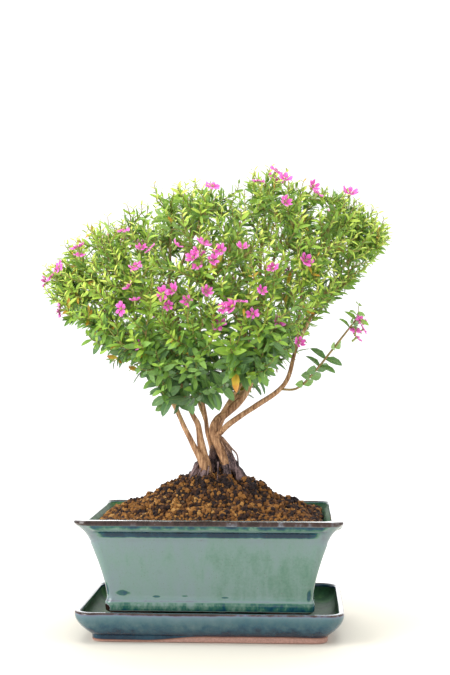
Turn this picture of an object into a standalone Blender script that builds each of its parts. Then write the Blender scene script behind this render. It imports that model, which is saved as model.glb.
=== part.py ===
"""A flowering cuphea grown as a small tree, in a glazed rectangular pot that stands in its own drip tray.

Metres, +Z up. The origin is the middle of the tray's flat underside, and the front is towards -Y.
The pot and the tray are lofts between rounded rectangles. The wood is a root crown with stems and
branches, one tapered tube each, and every branch ends inside the leaf mass that it carries.
Pieces that meet keep GAP between them, cut by a slightly grown copy of their neighbour.
"""

import math
import random

import bmesh
import bpy
from mathutils import Matrix, Vector

GAP = 0.0003
CUTTER_GROWTH = 0.0004
MERGE = 0.00001

# Tray: a shallow dish on a flat unglazed foot.
TRAY_HALF_WIDTH, TRAY_HALF_DEPTH, TRAY_CORNER = 0.1005, 0.0715, 0.014
TRAY_HEIGHT = 0.0235
TRAY_FOOT_HEIGHT, TRAY_FOOT_INSET = 0.0055, 0.0122
TRAY_FLOOR = 0.0115
TRAY_SHOULDER = 0.0205

# Pot: a flared box with a turned-out lip, on four corner feet.
POT_HALF_WIDTH, POT_HALF_DEPTH, POT_CORNER = 0.100, 0.076, 0.011
POT_RIM = 0.092
POT_FEET_BOTTOM = TRAY_FLOOR + GAP
POT_BODY_BOTTOM = 0.0215
POT_WAIST, POT_WAIST_INSET = 0.032, 0.0226
POT_COVE, POT_COVE_INSET = 0.0795, 0.0092
POT_WALL = 0.0065
POT_RECESS = 0.0200
POT_FLOOR = 0.0280
FOOT_INSET, FOOT_WIDTH = 0.0255, 0.010
FOOT_ARCH_HALF_X, FOOT_ARCH_HALF_Y = 0.045, 0.022
DRAIN_RADIUS, DRAIN_X = 0.008, 0.038

# Plastic net over each drain hole.
NET_HALF, NET_CELLS, NET_THICKNESS, NET_BAR = 0.0125, 4, 0.0008, 0.0016

# Soil: fills the pot and rises in a mound to the root crown.
SOIL_BOTTOM = POT_FLOOR + GAP + NET_THICKNESS + GAP
SOIL_EDGE = 0.0862
SOIL_MOUND = 0.0320
# The mound's outline: how far out from the crown, as a share of the way, and how high.
SOIL_PROFILE = ((0, 1), (0.30, 0.85), (0.46, 0.66), (0.60, 0.42), (0.78, 0.22), (1, 0))

# Canopy: leaf masses in three rings that tilt up to the right.
CANOPY_RINGS = (
    # name, count, middle x, middle z, half width, half depth, first angle, tilt, end rise
    ("top_leaves", 5, 0.015, 0.3290, 0.066, 0.041, 36, 0.07, 0.0),
    ("middle_leaves", 8, 0.003, 0.2690, 0.110, 0.058, 0, 0.17, 1.8),
    ("low_leaves", 4, 0.002, 0.2110, 0.055, 0.036, 45, 0.14, 0.0),
)
LEAF_HALF_RADIAL, LEAF_HALF_HEIGHT, LEAF_HALF_LENGTH = 0.0295, 0.0270, 0.0320
LEAF_SPACING = 0.0010
LUMP_DEPTH, LUMP_SIZE = 0.0060, 0.016

# Root crown: roots that fan out from under the stems and dive into the mound.
ROOT_COUNT = 11
CROWN_TOP = Vector((0.001, 0.002, 0.139))

# Flowers: a green tube that opens into six petals.
FLOWER_RADIUS, FLOWER_TUBE_RADIUS, FLOWER_DEPTH, PETALS = 0.0062, 0.0012, 0.0070, 6
FLOWER_SINK = 0.0050

RING_STEPS = 4


def clear_scene():
    for obj in list(bpy.data.objects):
        bpy.data.objects.remove(obj, do_unlink=True)


def new_collection(name, hidden=False):
    collection = bpy.data.collections.new(name)
    bpy.context.scene.collection.children.link(collection)
    collection.hide_render = hidden
    return collection


def new_material(name, colour, roughness):
    material = bpy.data.materials.new(name)
    material.use_nodes = True
    shader = material.node_tree.nodes["Principled BSDF"]
    shader.inputs["Base Color"].default_value = (*colour, 1.0)
    shader.inputs["Roughness"].default_value = roughness
    shader.inputs["Metallic"].default_value = 0.0
    return material


clear_scene()
PART = new_collection("potted_cuphea")
CUTTERS = new_collection("cutters", hidden=True)
TRAY_GLAZE = new_material("tray_glaze", (0.16, 0.27, 0.30), 0.15)
POT_GLAZE = new_material("pot_glaze", (0.23, 0.38, 0.36), 0.15)
NET_PLASTIC = new_material("net_plastic", (0.02, 0.02, 0.02), 0.5)
SOIL = new_material("soil", (0.22, 0.10, 0.03), 0.9)
ROOT_BARK = new_material("root_bark", (0.07, 0.05, 0.05), 0.85)
STEM_BARK = new_material("stem_bark", (0.38, 0.20, 0.11), 0.7)
SHOOT_BARK = new_material("shoot_bark", (0.35, 0.33, 0.10), 0.6)
LEAF = new_material("leaf", (0.09, 0.24, 0.04), 0.45)
PETAL = new_material("petal", (0.80, 0.09, 0.52), 0.6)


def new_part(name, mesh, material, location=(0, 0, 0)):
    """A finished piece in the part's collection."""
    obj = bpy.data.objects.new(name, mesh)
    obj.location = location
    obj.data.materials.clear()
    obj.data.materials.append(material)
    PART.objects.link(obj)
    return obj


def new_cutter(name, mesh, location=(0, 0, 0)):
    """A helper that cuts other pieces and is never part of the object."""
    obj = bpy.data.objects.new(name, mesh)
    obj.location = location
    obj.hide_render = True
    obj.display_type = "WIRE"
    CUTTERS.objects.link(obj)
    return obj


def cut(obj, cutter):
    boolean = obj.modifiers.new("cut_" + cutter.name, "BOOLEAN")
    boolean.operation = "DIFFERENCE"
    boolean.object = cutter


def mesh_from(name, bm):
    bmesh.ops.recalc_face_normals(bm, faces=bm.faces)
    mesh = bpy.data.meshes.new(name)
    bm.to_mesh(mesh)
    bm.free()
    return mesh


def shade_round(mesh, angle=40):
    mesh.shade_smooth()
    mesh.set_sharp_from_angle(angle=math.radians(angle))


def rounded_rectangle(half_x, half_y, radius, z, side_steps=1):
    """Points round a rectangle with round corners, anticlockwise seen from above."""
    points = []
    for quarter, (side_x, side_y) in enumerate(((1, 1), (-1, 1), (-1, -1), (1, -1))):
        centre = Vector((side_x * (half_x - radius), side_y * (half_y - radius), z))
        for step in range(RING_STEPS + 1):
            angle = math.radians(90 * (quarter + step / RING_STEPS))
            points.append(centre + radius * Vector((math.cos(angle), math.sin(angle), 0)))
    if side_steps == 1:
        return points
    ring = []
    for i, point in enumerate(points):
        following = points[(i + 1) % len(points)]
        ring.append(point)
        if i % (RING_STEPS + 1) == RING_STEPS:
            ring += [point.lerp(following, s / side_steps) for s in range(1, side_steps)]
    return ring


def loft(name, rings):
    """A closed solid through rings of equal count, with both ends capped."""
    bm = bmesh.new()
    loops = [[bm.verts.new(point) for point in ring] for ring in rings]
    count = len(loops[0])
    for lower, upper in zip(loops, loops[1:]):
        for i in range(count):
            after = (i + 1) % count
            bm.faces.new((lower[i], lower[after], upper[after], upper[i]))
    bm.faces.new(reversed(loops[0]))
    bm.faces.new(loops[-1])
    mesh = mesh_from(name, bm)
    shade_round(mesh)
    return mesh


def box_mesh(name, low, high):
    bm = bmesh.new()
    middle, size = (Vector(low) + Vector(high)) / 2, Vector(high) - Vector(low)
    bmesh.ops.create_cube(bm, size=1, matrix=Matrix.Translation(middle) @ Matrix.Diagonal((*size, 1)))
    return mesh_from(name, bm)


# Tray


def tray_ring(inset, z):
    corner = max(TRAY_CORNER - 0.4 * inset, 0.004)
    return rounded_rectangle(TRAY_HALF_WIDTH - inset, TRAY_HALF_DEPTH - inset, corner, z)


def tray_belly(z):
    """How far the rounded outside stands in from the rim at height z."""
    below = (TRAY_SHOULDER - z) / (TRAY_SHOULDER - TRAY_FOOT_HEIGHT)
    return (TRAY_FOOT_INSET - 0.0010) * max(below, 0) ** 1.7


def make_tray():
    rings = [tray_ring(TRAY_FOOT_INSET + 0.0008, 0.0), tray_ring(TRAY_FOOT_INSET, 0.0006)]
    rings.append(tray_ring(TRAY_FOOT_INSET, TRAY_FOOT_HEIGHT))
    steps = 6
    for i in range(steps + 1):
        z = TRAY_FOOT_HEIGHT + 0.0004 + (TRAY_SHOULDER - TRAY_FOOT_HEIGHT - 0.0004) * i / steps
        rings.append(tray_ring(tray_belly(z), z))
    lip = ((0.0000, 0.0010), (0.0005, 0.0003), (0.0014, 0.0), (0.0030, 0.0), (0.0038, 0.0004), (0.0043, 0.0015))
    rings += [tray_ring(inset, TRAY_HEIGHT - drop) for inset, drop in lip]
    inner_depth = TRAY_HEIGHT - 0.0015 - TRAY_FLOOR
    for degrees in (30, 60, 90):
        angle = math.radians(degrees)
        inset = 0.0043 + 0.0107 * (1 - math.cos(angle)) ** 1.3
        rings.append(tray_ring(inset, TRAY_HEIGHT - 0.0015 - inner_depth * math.sin(angle)))
    return new_part("drip_tray", loft("drip_tray", rings), TRAY_GLAZE)


# Pot


def pot_ring(inset, z, side_steps=1):
    corner = max(POT_CORNER - 0.25 * inset, 0.004)
    return rounded_rectangle(POT_HALF_WIDTH - inset, POT_HALF_DEPTH - inset, corner, z, side_steps)


def pot_flare(z):
    """How far the outer wall stands in from the lip at height z, a hollow curve from waist to cove."""
    above = max(z - POT_WAIST, 0) / (POT_COVE - POT_WAIST)
    return POT_WAIST_INSET - (POT_WAIST_INSET - POT_COVE_INSET) * above**1.4


def pot_inside(z):
    """The same for the inner wall, which runs parallel to the outer one and turns in at the floor."""
    fillet = 0.003 * max(POT_WAIST - z, 0) / (POT_WAIST - POT_FLOOR)
    return pot_flare(min(z, POT_COVE)) + POT_WALL + fillet - 0.35 * max(z - POT_COVE, 0)


def wall_heights(steps=6):
    return [POT_WAIST + (POT_COVE - POT_WAIST) * i / steps for i in range(steps + 1)]


def make_pot():
    inner_foot = FOOT_INSET + FOOT_WIDTH
    rings = [
        pot_ring(inner_foot + 0.001, POT_RECESS),
        pot_ring(inner_foot, POT_FEET_BOTTOM),
        pot_ring(FOOT_INSET, POT_FEET_BOTTOM),
        pot_ring(FOOT_INSET - 0.001, POT_BODY_BOTTOM - 0.0008),
        pot_ring(POT_WAIST_INSET - 0.0006, POT_BODY_BOTTOM),
        pot_ring(POT_WAIST_INSET - 0.0010, POT_BODY_BOTTOM + 0.004),
    ]
    rings += [pot_ring(pot_flare(z), z) for z in wall_heights()]
    lip = ((0.0040, 0.0082), (0.0014, 0.0064), (0.0002, 0.0042), (0.0, 0.0018), (0.0007, 0.0005), (0.0020, 0.0))
    rings += [pot_ring(inset, POT_RIM - drop) for inset, drop in lip]
    rings.append(pot_ring(0.0078, POT_RIM))
    rings.append(pot_ring(0.0092, POT_RIM - 0.0010))
    rings += [pot_ring(pot_inside(z), z) for z in (0.085, *reversed(wall_heights()), POT_FLOOR)]
    pot = new_part("pot", loft("pot", rings), POT_GLAZE)

    arch_top, below = POT_RECESS + 0.0008, POT_FEET_BOTTOM - 0.005
    far = POT_HALF_WIDTH
    for name, half_x, half_y in (("arch_x", FOOT_ARCH_HALF_X, far), ("arch_y", far, FOOT_ARCH_HALF_Y)):
        mesh = box_mesh(name, (-half_x, -half_y, below), (half_x, half_y, arch_top))
        cut(pot, new_cutter(name, mesh))
    for side in (-1, 1):
        bm = bmesh.new()
        bmesh.ops.create_cone(
            bm, cap_ends=True, segments=16, radius1=DRAIN_RADIUS, radius2=DRAIN_RADIUS, depth=0.03
        )
        cut(pot, new_cutter("drain_hole", mesh_from("drain_hole", bm), (side * DRAIN_X, 0, POT_FLOOR)))
    return pot


def make_net(name, x):
    """A square of plastic net: a plate with rows of square holes, thickened from a flat grid."""
    bm = bmesh.new()
    cell = (2 * NET_HALF - NET_BAR) / NET_CELLS
    lines = [-NET_HALF + cell * (i // 2) + NET_BAR * (i % 2) for i in range(2 * NET_CELLS + 2)]
    grid = [[bm.verts.new((across, along, 0)) for across in lines] for along in lines]
    for row in range(len(lines) - 1):
        for column in range(len(lines) - 1):
            if row % 2 and column % 2:
                continue
            corners = (grid[row][column], grid[row][column + 1], grid[row + 1][column + 1], grid[row + 1][column])
            bm.faces.new(corners)
    net = new_part(name, mesh_from(name, bm), NET_PLASTIC, (x, 0, POT_FLOOR + GAP))
    solidify = net.modifiers.new("thickness", "SOLIDIFY")
    solidify.thickness, solidify.offset = NET_THICKNESS, 1
    return net


# Soil


def soil_height(x, y, half_x, half_y):
    """The mound's height at a place, from the pot's edge up to the root crown."""
    reach = min(math.hypot(x / half_x, y / half_y), 1)
    for (near, high), (far, low) in zip(SOIL_PROFILE, SOIL_PROFILE[1:]):
        if reach <= far:
            break
    return SOIL_EDGE + SOIL_MOUND * (high + (low - high) * (reach - near) / (far - near))


def make_soil():
    side_steps = 4
    rings = []
    for z in (SOIL_BOTTOM, *wall_heights(), SOIL_EDGE):
        rings.append(pot_ring(pot_inside(z) + GAP, z, side_steps))
    edge = rings[-1]
    half_x, half_y = max(p.x for p in edge), max(p.y for p in edge)
    for share in (0.97, 0.86, 0.72, 0.56, 0.40, 0.24, 0.10):
        ring = [Vector((p.x * share, p.y * share, 0)) for p in edge]
        for point in ring:
            point.z = soil_height(point.x, point.y, half_x, half_y)
        rings.append(ring)
    return new_part("soil_bed", loft("soil_bed", rings), SOIL)


# Wood


def smooth_route(points, steps):
    """A curve through every point (x, y, z, radius), with steps points to each stretch."""
    ends = [points[0], *points, points[-1]]
    route = []
    for before, start, end, after in zip(ends, ends[1:], ends[2:], ends[3:]):
        for i in range(steps):
            t = i / steps
            route.append(
                [
                    0.5 * (2 * b + (c - a) * t + (2 * a - 5 * b + 4 * c - d) * t**2 + (3 * b - a - 3 * c + d) * t**3)
                    for a, b, c, d in zip(before, start, end, after)
                ]
            )
    route.append(list(points[-1]))
    return [(Vector(p[:3]), p[3]) for p in route]


def tube_mesh(name, route, grow=0.0, bevel_resolution=1):
    """A tapered tube along a route of (place, radius), as a closed mesh. grow thickens and lengthens it."""
    places = [place.copy() for place, _ in route]
    places[0] += (places[0] - places[1]).normalized() * grow
    places[-1] += (places[-1] - places[-2]).normalized() * grow
    curve = bpy.data.curves.new(name, "CURVE")
    curve.dimensions = "3D"
    curve.bevel_depth, curve.bevel_resolution, curve.use_fill_caps = 1.0, bevel_resolution, True
    spline = curve.splines.new("POLY")
    spline.points.add(len(route) - 1)
    for point, place, (_, radius) in zip(spline.points, places, route):
        point.co, point.radius = (*place, 1), radius + grow
    holder = bpy.data.objects.new(name, curve)
    bpy.context.scene.collection.objects.link(holder)
    graph = bpy.context.evaluated_depsgraph_get()
    graph.update()
    mesh = bpy.data.meshes.new_from_object(holder.evaluated_get(graph))
    bpy.data.objects.remove(holder)
    bm = bmesh.new()
    bm.from_mesh(mesh)
    bmesh.ops.remove_doubles(bm, verts=bm.verts, dist=MERGE)
    bpy.data.meshes.remove(mesh)
    mesh = mesh_from(name, bm)
    shade_round(mesh, 60)
    return mesh


def make_root_crown(seed=4):
    """Roots fanned round the crown, fused into one lump, with its grown copy as the cutter."""
    rng = random.Random(seed)
    bm = bmesh.new()
    for i in range(ROOT_COUNT):
        angle = math.tau * (i + rng.uniform(-0.25, 0.25)) / ROOT_COUNT
        out = Vector((math.cos(angle), 0.8 * math.sin(angle), 0))
        lean = 1.25 if out.x > 0 else 0.95
        foot = Vector((0.003, 0, 0.104)) + out * rng.uniform(0.019, 0.025) * lean
        shoulder = CROWN_TOP.lerp(foot, 0.45) + out * 0.0035
        knee = CROWN_TOP.lerp(foot, 0.78) + out * 0.0030
        thick = rng.uniform(0.0030, 0.0042)
        start = CROWN_TOP + Vector((out.x * 0.006, out.y * 0.005, rng.uniform(-0.004, 0.003)))
        points = [(*start, thick), (*shoulder, thick), (*knee, thick * 0.85), (*foot, thick * 0.55)]
        mesh = tube_mesh("root", smooth_route(points, 3), bevel_resolution=2)
        bm.from_mesh(mesh)
        bpy.data.meshes.remove(mesh)
    bmesh.ops.create_icosphere(
        bm, subdivisions=2, radius=0.011, matrix=Matrix.Translation(CROWN_TOP - Vector((0, 0, 0.006)))
    )
    fused = bpy.data.objects.new("fused_roots", mesh_from("fused_roots", bm))
    bpy.context.scene.collection.objects.link(fused)
    remesh = fused.modifiers.new("fuse", "REMESH")
    remesh.mode, remesh.voxel_size = "VOXEL", 0.0022
    smooth = fused.modifiers.new("smooth", "SMOOTH")
    smooth.factor, smooth.iterations = 0.4, 2
    thin = fused.modifiers.new("thin", "DECIMATE")
    thin.ratio = 0.24
    graph = bpy.context.evaluated_depsgraph_get()
    graph.update()
    mesh = bpy.data.meshes.new_from_object(fused.evaluated_get(graph))
    bpy.data.objects.remove(fused)
    shade_round(mesh, 60)
    cutter = new_cutter("grown_root_crown", mesh.copy())
    swell = cutter.modifiers.new("swell", "DISPLACE")
    swell.strength, swell.mid_level = 2.2 * CUTTER_GROWTH, 0
    return new_part("root_crown", mesh, ROOT_BARK), cutter


# Each stem is (x, y, z, radius) in millimetres, from inside the root crown up to its leaf mass.
STEMS = {
    "left_outer_stem": (
        (-7, -8, 126, 3.5), (-9.5, -9, 132.5, 3.0), (-12.9, -9, 138.5, 2.5), (-17.6, -9, 147.7, 2.1),
        (-22.2, -8.5, 156.6, 1.9), (-27.2, -8, 167.5, 1.7), (-36, -7, 183, 1.5), (-56, -6, 206, 1.4),
        (-78, -3, 234, 1.2), (-98, 0, 266, 0.9),
    ),
    "left_inner_stem": (
        (-5, -5, 126, 3.8), (-8, -5, 136, 3.4), (-10.1, -4, 146.5, 2.8), (-11.1, -3, 153.6, 2.4),
        (-12.6, -3, 160, 2.2), (-17, -2, 168, 1.9), (-27, 2, 192, 1.7), (-36, 6, 228, 1.5), (-36, 10, 270, 1.2),
        (-35, 14, 316, 0.9),
    ),
    "middle_stem": (
        (-0.5, 8, 130, 2.6), (-1.5, 8, 138, 2.4), (-3.4, 9, 145, 2.1), (-5.8, 11, 153, 1.8), (-8, 14, 167, 1.6),
        (-16, 24, 200, 1.4), (-30, 34, 238, 1.2), (-52, 42, 262, 0.9),
    ),
    "main_stem": (
        (10.5, -4, 127, 3.4), (8, -4, 133, 3.6), (5, -2.5, 141, 3.9), (1.8, -2, 148.5, 3.9), (0.2, -2, 155, 3.6),
        (3, 0, 162, 3.5), (9.2, 3, 167, 3.3), (18.2, 6, 175, 3.0), (26.3, 8, 186, 2.6), (31, 8, 202, 2.3),
        (34, 8, 230, 2.0), (36, 8, 270, 1.5), (37, 12, 300, 1.1), (40, 22, 320, 0.9),
    ),
    "back_stem": (
        (6, 9, 128, 2.8), (3, 11, 142, 2.4), (3, 14, 154, 2.1), (8, 18, 166, 1.9), (17, 23, 180, 1.8),
        (24, 30, 200, 1.7), (20, 40, 236, 1.3), (10, 52, 266, 0.9),
    ),
}
# Branches that leave another one, in the same form.
SIDE_BRANCHES = {
    "long_right_branch": (
        (3, -4, 150, 2.4), (13, -9, 160, 2.3), (32, -12, 173, 2.1), (50, -13, 185, 1.9), (59, -13, 197, 1.7),
        (66, -12, 222, 1.4), (84, -8, 256, 1.2), (106, -2, 288, 0.9),
    ),
    "side_shoot": (
        (53, -13, 187, 0.9), (66, -17, 188, 0.9), (80, -22, 202, 0.85), (96, -26, 222, 0.8), (110, -28, 240, 0.7),
    ),
}
# Branches that bend from a parent to a leaf mass: parent, share of the way along it, leaf mass.
BRANCHES = (
    ("left_front_branch", "left_outer_stem", 0.60, "middle_leaves_6"),
    ("left_low_branch", "left_outer_stem", 0.45, "low_leaves_3"),
    ("left_top_branch", "left_inner_stem", 0.74, "top_leaves_4"),
    ("left_back_branch", "middle_stem", 0.45, "low_leaves_2"),
    ("front_branch", "main_stem", 0.56, "middle_leaves_7"),
    ("front_low_branch", "main_stem", 0.42, "low_leaves_4"),
    ("top_front_branch", "main_stem", 0.78, "top_leaves_5"),
    ("top_right_branch", "main_stem", 0.70, "top_leaves_1"),
    ("right_front_branch", "long_right_branch", 0.62, "middle_leaves_8"),
    ("right_back_branch", "back_stem", 0.52, "middle_leaves_2"),
    ("back_low_branch", "back_stem", 0.40, "low_leaves_1"),
)


def in_metres(points):
    return [tuple(value / 1000 for value in point) for point in points]


def branch_route(parent_route, share, target):
    """From a point on the parent, leaving along it and bending to a leaf mass."""
    index = round(share * (len(parent_route) - 1))
    start, radius = parent_route[index]
    heading = (parent_route[index + 1][0] - parent_route[index - 1][0]).normalized()
    reach = (target - start).length
    bend = start + heading * reach * 0.45
    route = []
    steps = 6
    for i in range(steps + 1):
        t = i / steps
        place = start * (1 - t) ** 2 + bend * 2 * t * (1 - t) + target * t**2
        route.append((place, min(radius * 0.75, 0.0017) * (1 - t) + 0.0008 * t))
    return route


def runs_near(route, other, room):
    """Whether two routes come within room of touching anywhere along them."""
    return any((a - b).length < ra + rb + room for a, ra in route for b, rb in other)


def make_wood(crown_cutter, leaf_places):
    """All stems and branches. Returns each one's route and its grown cutter."""
    routes, cutters = {}, {}

    def add(name, route, material=STEM_BARK, fine=1):
        """Each new piece gives way to the root crown and to the wood that is there already."""
        stem = new_part(name, tube_mesh(name, route, bevel_resolution=fine), material)
        if route[0][0].z < 0.152:
            cut(stem, crown_cutter)
        for other, cutter in cutters.items():
            if runs_near(route, routes[other], 0.004):
                cut(stem, cutter)
        routes[name] = route
        cutters[name] = new_cutter("grown_" + name, tube_mesh(name, route, CUTTER_GROWTH, fine))

    for name, points in STEMS.items():
        add(name, smooth_route(in_metres(points), 2), fine=2)
    for name, points in SIDE_BRANCHES.items():
        add(name, smooth_route(in_metres(points), 2), SHOOT_BARK if name == "side_shoot" else STEM_BARK)
    for name, parent, share, leaves in BRANCHES:
        target = leaf_places[leaves] - Vector((0, 0, 0.006))
        add(name, branch_route(routes[parent], share, target))
    return routes, cutters


# Leaves


def ring_places(count, half_x, half_y, first_angle):
    """Angles at equal distances along an ellipse, and that distance."""
    fine = 720
    points = [Vector((half_x * math.cos(math.tau * i / fine), half_y * math.sin(math.tau * i / fine))) for i in range(fine + 1)]
    lengths = [0.0]
    for a, b in zip(points, points[1:]):
        lengths.append(lengths[-1] + (b - a).length)
    whole = lengths[-1]
    offset = whole * first_angle / 360
    angles = []
    for i in range(count):
        at = (offset + whole * i / count) % whole
        nearest = min(range(fine), key=lambda k: abs(lengths[k] - at))
        angles.append(math.tau * nearest / fine)
    return angles, whole / count


def leaf_masses():
    """Name, place, half sizes and turn of every leaf mass."""
    found = {}
    for name, count, middle_x, middle_z, half_x, half_y, first, tilt, rise in CANOPY_RINGS:
        angles, spacing = ring_places(count, half_x, half_y, first)
        for i, angle in enumerate(angles, 1):
            across, deep = half_x * math.cos(angle), half_y * math.sin(angle)
            place = Vector((middle_x + across, deep, middle_z + tilt * across + rise * across**2))
            turn = math.atan2(half_y * math.cos(angle), -half_x * math.sin(angle))
            length = min(spacing / 2 - LEAF_SPACING, LEAF_HALF_LENGTH)
            sizes = (length, LEAF_HALF_RADIAL, LEAF_HALF_HEIGHT)
            found[f"{name}_{i}"] = (place, sizes, turn)
    return found


def make_leaf_mass(name, place, sizes, turn, lumps, routes, cutters):
    """A lumpy closed form for the leaves of one branch, cut where wood runs into it."""
    bm = bmesh.new()
    bmesh.ops.create_icosphere(bm, subdivisions=3, radius=1, matrix=Matrix.Diagonal((*sizes, 1)))
    mesh = mesh_from(name, bm)
    mesh.shade_smooth()
    mass = new_part(name, mesh, LEAF, place)
    mass.rotation_euler.z = turn
    dent = mass.modifiers.new("lumps", "DISPLACE")
    dent.texture, dent.texture_coords = lumps, "GLOBAL"
    dent.strength, dent.mid_level = LUMP_DEPTH, 1.0
    reach = max(sizes) + 0.004
    for stem, route in routes.items():
        if any((point - place).length < reach for point, _ in route):
            cut(mass, cutters[stem])
    return mass


# Flowers: the leaf mass each one stands on, its angle round that mass from the front, and above its middle.
FLOWERS = (
    ("middle_leaves_5", 10, 25), ("middle_leaves_5", -15, 15), ("middle_leaves_5", -75, 0),
    ("middle_leaves_6", 30, 45), ("middle_leaves_7", -35, 35), ("middle_leaves_7", 20, 45),
    ("middle_leaves_6", 15, -5), ("middle_leaves_6", -5, -40), ("middle_leaves_5", -20, -35),
    ("low_leaves_3", -35, 25), ("middle_leaves_7", -15, -25), ("middle_leaves_7", 30, -40),
    ("top_leaves_5", -35, 40), ("top_leaves_5", 35, 0), ("middle_leaves_8", -35, -15),
    ("middle_leaves_8", 5, -10), ("middle_leaves_7", 70, -10), ("low_leaves_4", 25, 30),
)


def flower_mesh(name, grow=0.0):
    """A funnel whose wide end has every other corner drawn in, which leaves six petals."""
    bm = bmesh.new()
    tube, mouth, depth = FLOWER_TUBE_RADIUS + grow, FLOWER_RADIUS + 1.5 * grow, FLOWER_DEPTH + 2 * grow
    made = bmesh.ops.create_cone(bm, cap_ends=True, segments=2 * PETALS, radius1=tube, radius2=mouth, depth=depth)
    rim = [v for v in made["verts"] if v.co.z > 0]
    for i, vert in enumerate(sorted(rim, key=lambda v: math.atan2(v.co.y, v.co.x))):
        if i % 2:
            vert.co.x, vert.co.y = vert.co.x * 0.55, vert.co.y * 0.55
            vert.co.z -= 0.001
    bmesh.ops.translate(bm, verts=bm.verts, vec=(0, 0, FLOWER_DEPTH / 2))
    return mesh_from(name, bm)


def make_flowers(masses):
    """Each flower stands on its leaf mass with its tube sunk in a socket a little wider than itself."""
    for number, (leaves, around, above) in enumerate(FLOWERS, 1):
        place, sizes, turn = masses[leaves]
        a, b = math.radians(around), math.radians(above)
        out = Vector((math.sin(a) * math.cos(b), -math.cos(a) * math.cos(b), math.sin(b)))
        local = Matrix.Rotation(-turn, 3, "Z") @ out
        reach = 1 / math.sqrt(sum((axis / size) ** 2 for axis, size in zip(local, sizes)))
        name = f"flower_{number:02d}"
        seat = place + out * (reach - FLOWER_SINK)
        socket = new_cutter("socket_" + name, flower_mesh("socket_" + name, CUTTER_GROWTH), seat)
        cut(PART.objects[leaves], socket)
        for obj in (new_part(name, flower_mesh(name), PETAL, seat), socket):
            obj.rotation_mode = "QUATERNION"
            obj.rotation_quaternion = out.to_track_quat("Z", "Y")


def main():
    make_tray()
    make_pot()
    make_net("left_drain_net", -DRAIN_X)
    make_net("right_drain_net", DRAIN_X)
    soil = make_soil()
    _, crown_cutter = make_root_crown()
    cut(soil, crown_cutter)
    masses = leaf_masses()
    routes, cutters = make_wood(crown_cutter, {name: mass[0] for name, mass in masses.items()})
    lumps = bpy.data.textures.new("lumps", "CLOUDS")
    lumps.noise_scale = LUMP_SIZE
    for name, (place, sizes, turn) in masses.items():
        make_leaf_mass(name, place, sizes, turn, lumps, routes, cutters)
    make_flowers(masses)


main()
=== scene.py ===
"""A cuphea grown as a small flowering tree, in a glazed stoneware pot that stands on its drip tray.

Metres, +Z up, the front towards -Y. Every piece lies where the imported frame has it.
"""

import math
import random

import bmesh
import bpy
from mathutils import Matrix, Vector, kdtree, noise


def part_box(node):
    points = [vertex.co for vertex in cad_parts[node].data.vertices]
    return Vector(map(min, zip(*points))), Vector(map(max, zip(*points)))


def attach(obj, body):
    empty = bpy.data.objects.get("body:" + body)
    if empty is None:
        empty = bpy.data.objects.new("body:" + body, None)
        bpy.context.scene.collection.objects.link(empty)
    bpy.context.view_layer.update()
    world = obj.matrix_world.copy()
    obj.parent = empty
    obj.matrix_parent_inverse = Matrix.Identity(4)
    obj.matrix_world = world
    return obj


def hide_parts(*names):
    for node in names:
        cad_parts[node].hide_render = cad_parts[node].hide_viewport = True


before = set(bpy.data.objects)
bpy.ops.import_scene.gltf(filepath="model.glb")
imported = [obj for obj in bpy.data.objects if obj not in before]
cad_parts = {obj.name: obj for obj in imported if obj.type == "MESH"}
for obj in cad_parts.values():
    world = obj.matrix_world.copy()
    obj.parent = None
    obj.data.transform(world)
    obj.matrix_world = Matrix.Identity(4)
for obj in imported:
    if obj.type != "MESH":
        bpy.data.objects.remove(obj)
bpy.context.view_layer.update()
noise.seed_set(3)  # fixes the noise vectors, which change from run to run without it


# ----------------------------------------------------------------------
# Drip tray. A shallow stoneware dish pressed in a mould, with a rounded wall and a turned-in lip.
# It is dipped in the same glaze as the pot as far as its foot, which is wiped bare before firing,
# so the glaze ends in a thick wavy edge just above the table.

TRAY_HALF_WIDTH, TRAY_HALF_DEPTH, TRAY_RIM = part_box("drip_tray")[1]
TRAY_CORNER = 0.014
TRAY_FOOT, TRAY_FOOT_INSET = 0.0055, 0.0122
TRAY_FLOOR, TRAY_SHOULDER = 0.0115, 0.0205
CORNER_STEPS, SIDE_STEPS, TRAY_SIDE_STEPS, TRAY_WELL_STEPS = 12, 36, 14, 12
# How far the clay wanders, over what distance, and the height above which it does so freely.
CLAY_WOBBLE, WOBBLE_SIZE, WOBBLE_FREE = 0.00035, 0.05, 0.02

# How thick the glaze lies decides its colour: brown where it breaks, dark teal where it pools.
BROKEN, THIN, EVEN, POOLED = 0.05, 0.28, 0.45, 0.97
TRAY_COLOURS = (
    (0.00, (0.022, 0.010, 0.008)), (0.12, (0.058, 0.032, 0.026)), (0.24, (0.120, 0.140, 0.205)),
    (0.42, (0.095, 0.168, 0.195)), (0.60, (0.055, 0.130, 0.155)), (0.80, (0.018, 0.080, 0.125)),
    (1.00, (0.003, 0.026, 0.055)),
)
# A depth above 1 marks the inside, which has a duller green glaze of its own.
INSIDE = 1.3
INSIDE_COLOURS = ((0.30, (0.009, 0.030, 0.018)), (0.50, (0.026, 0.088, 0.038)), (0.72, (0.085, 0.185, 0.055)))
BARE_CLAY, GLAZE_SEAM = (0.46, 0.27, 0.225), (0.22, 0.10, 0.06)


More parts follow.
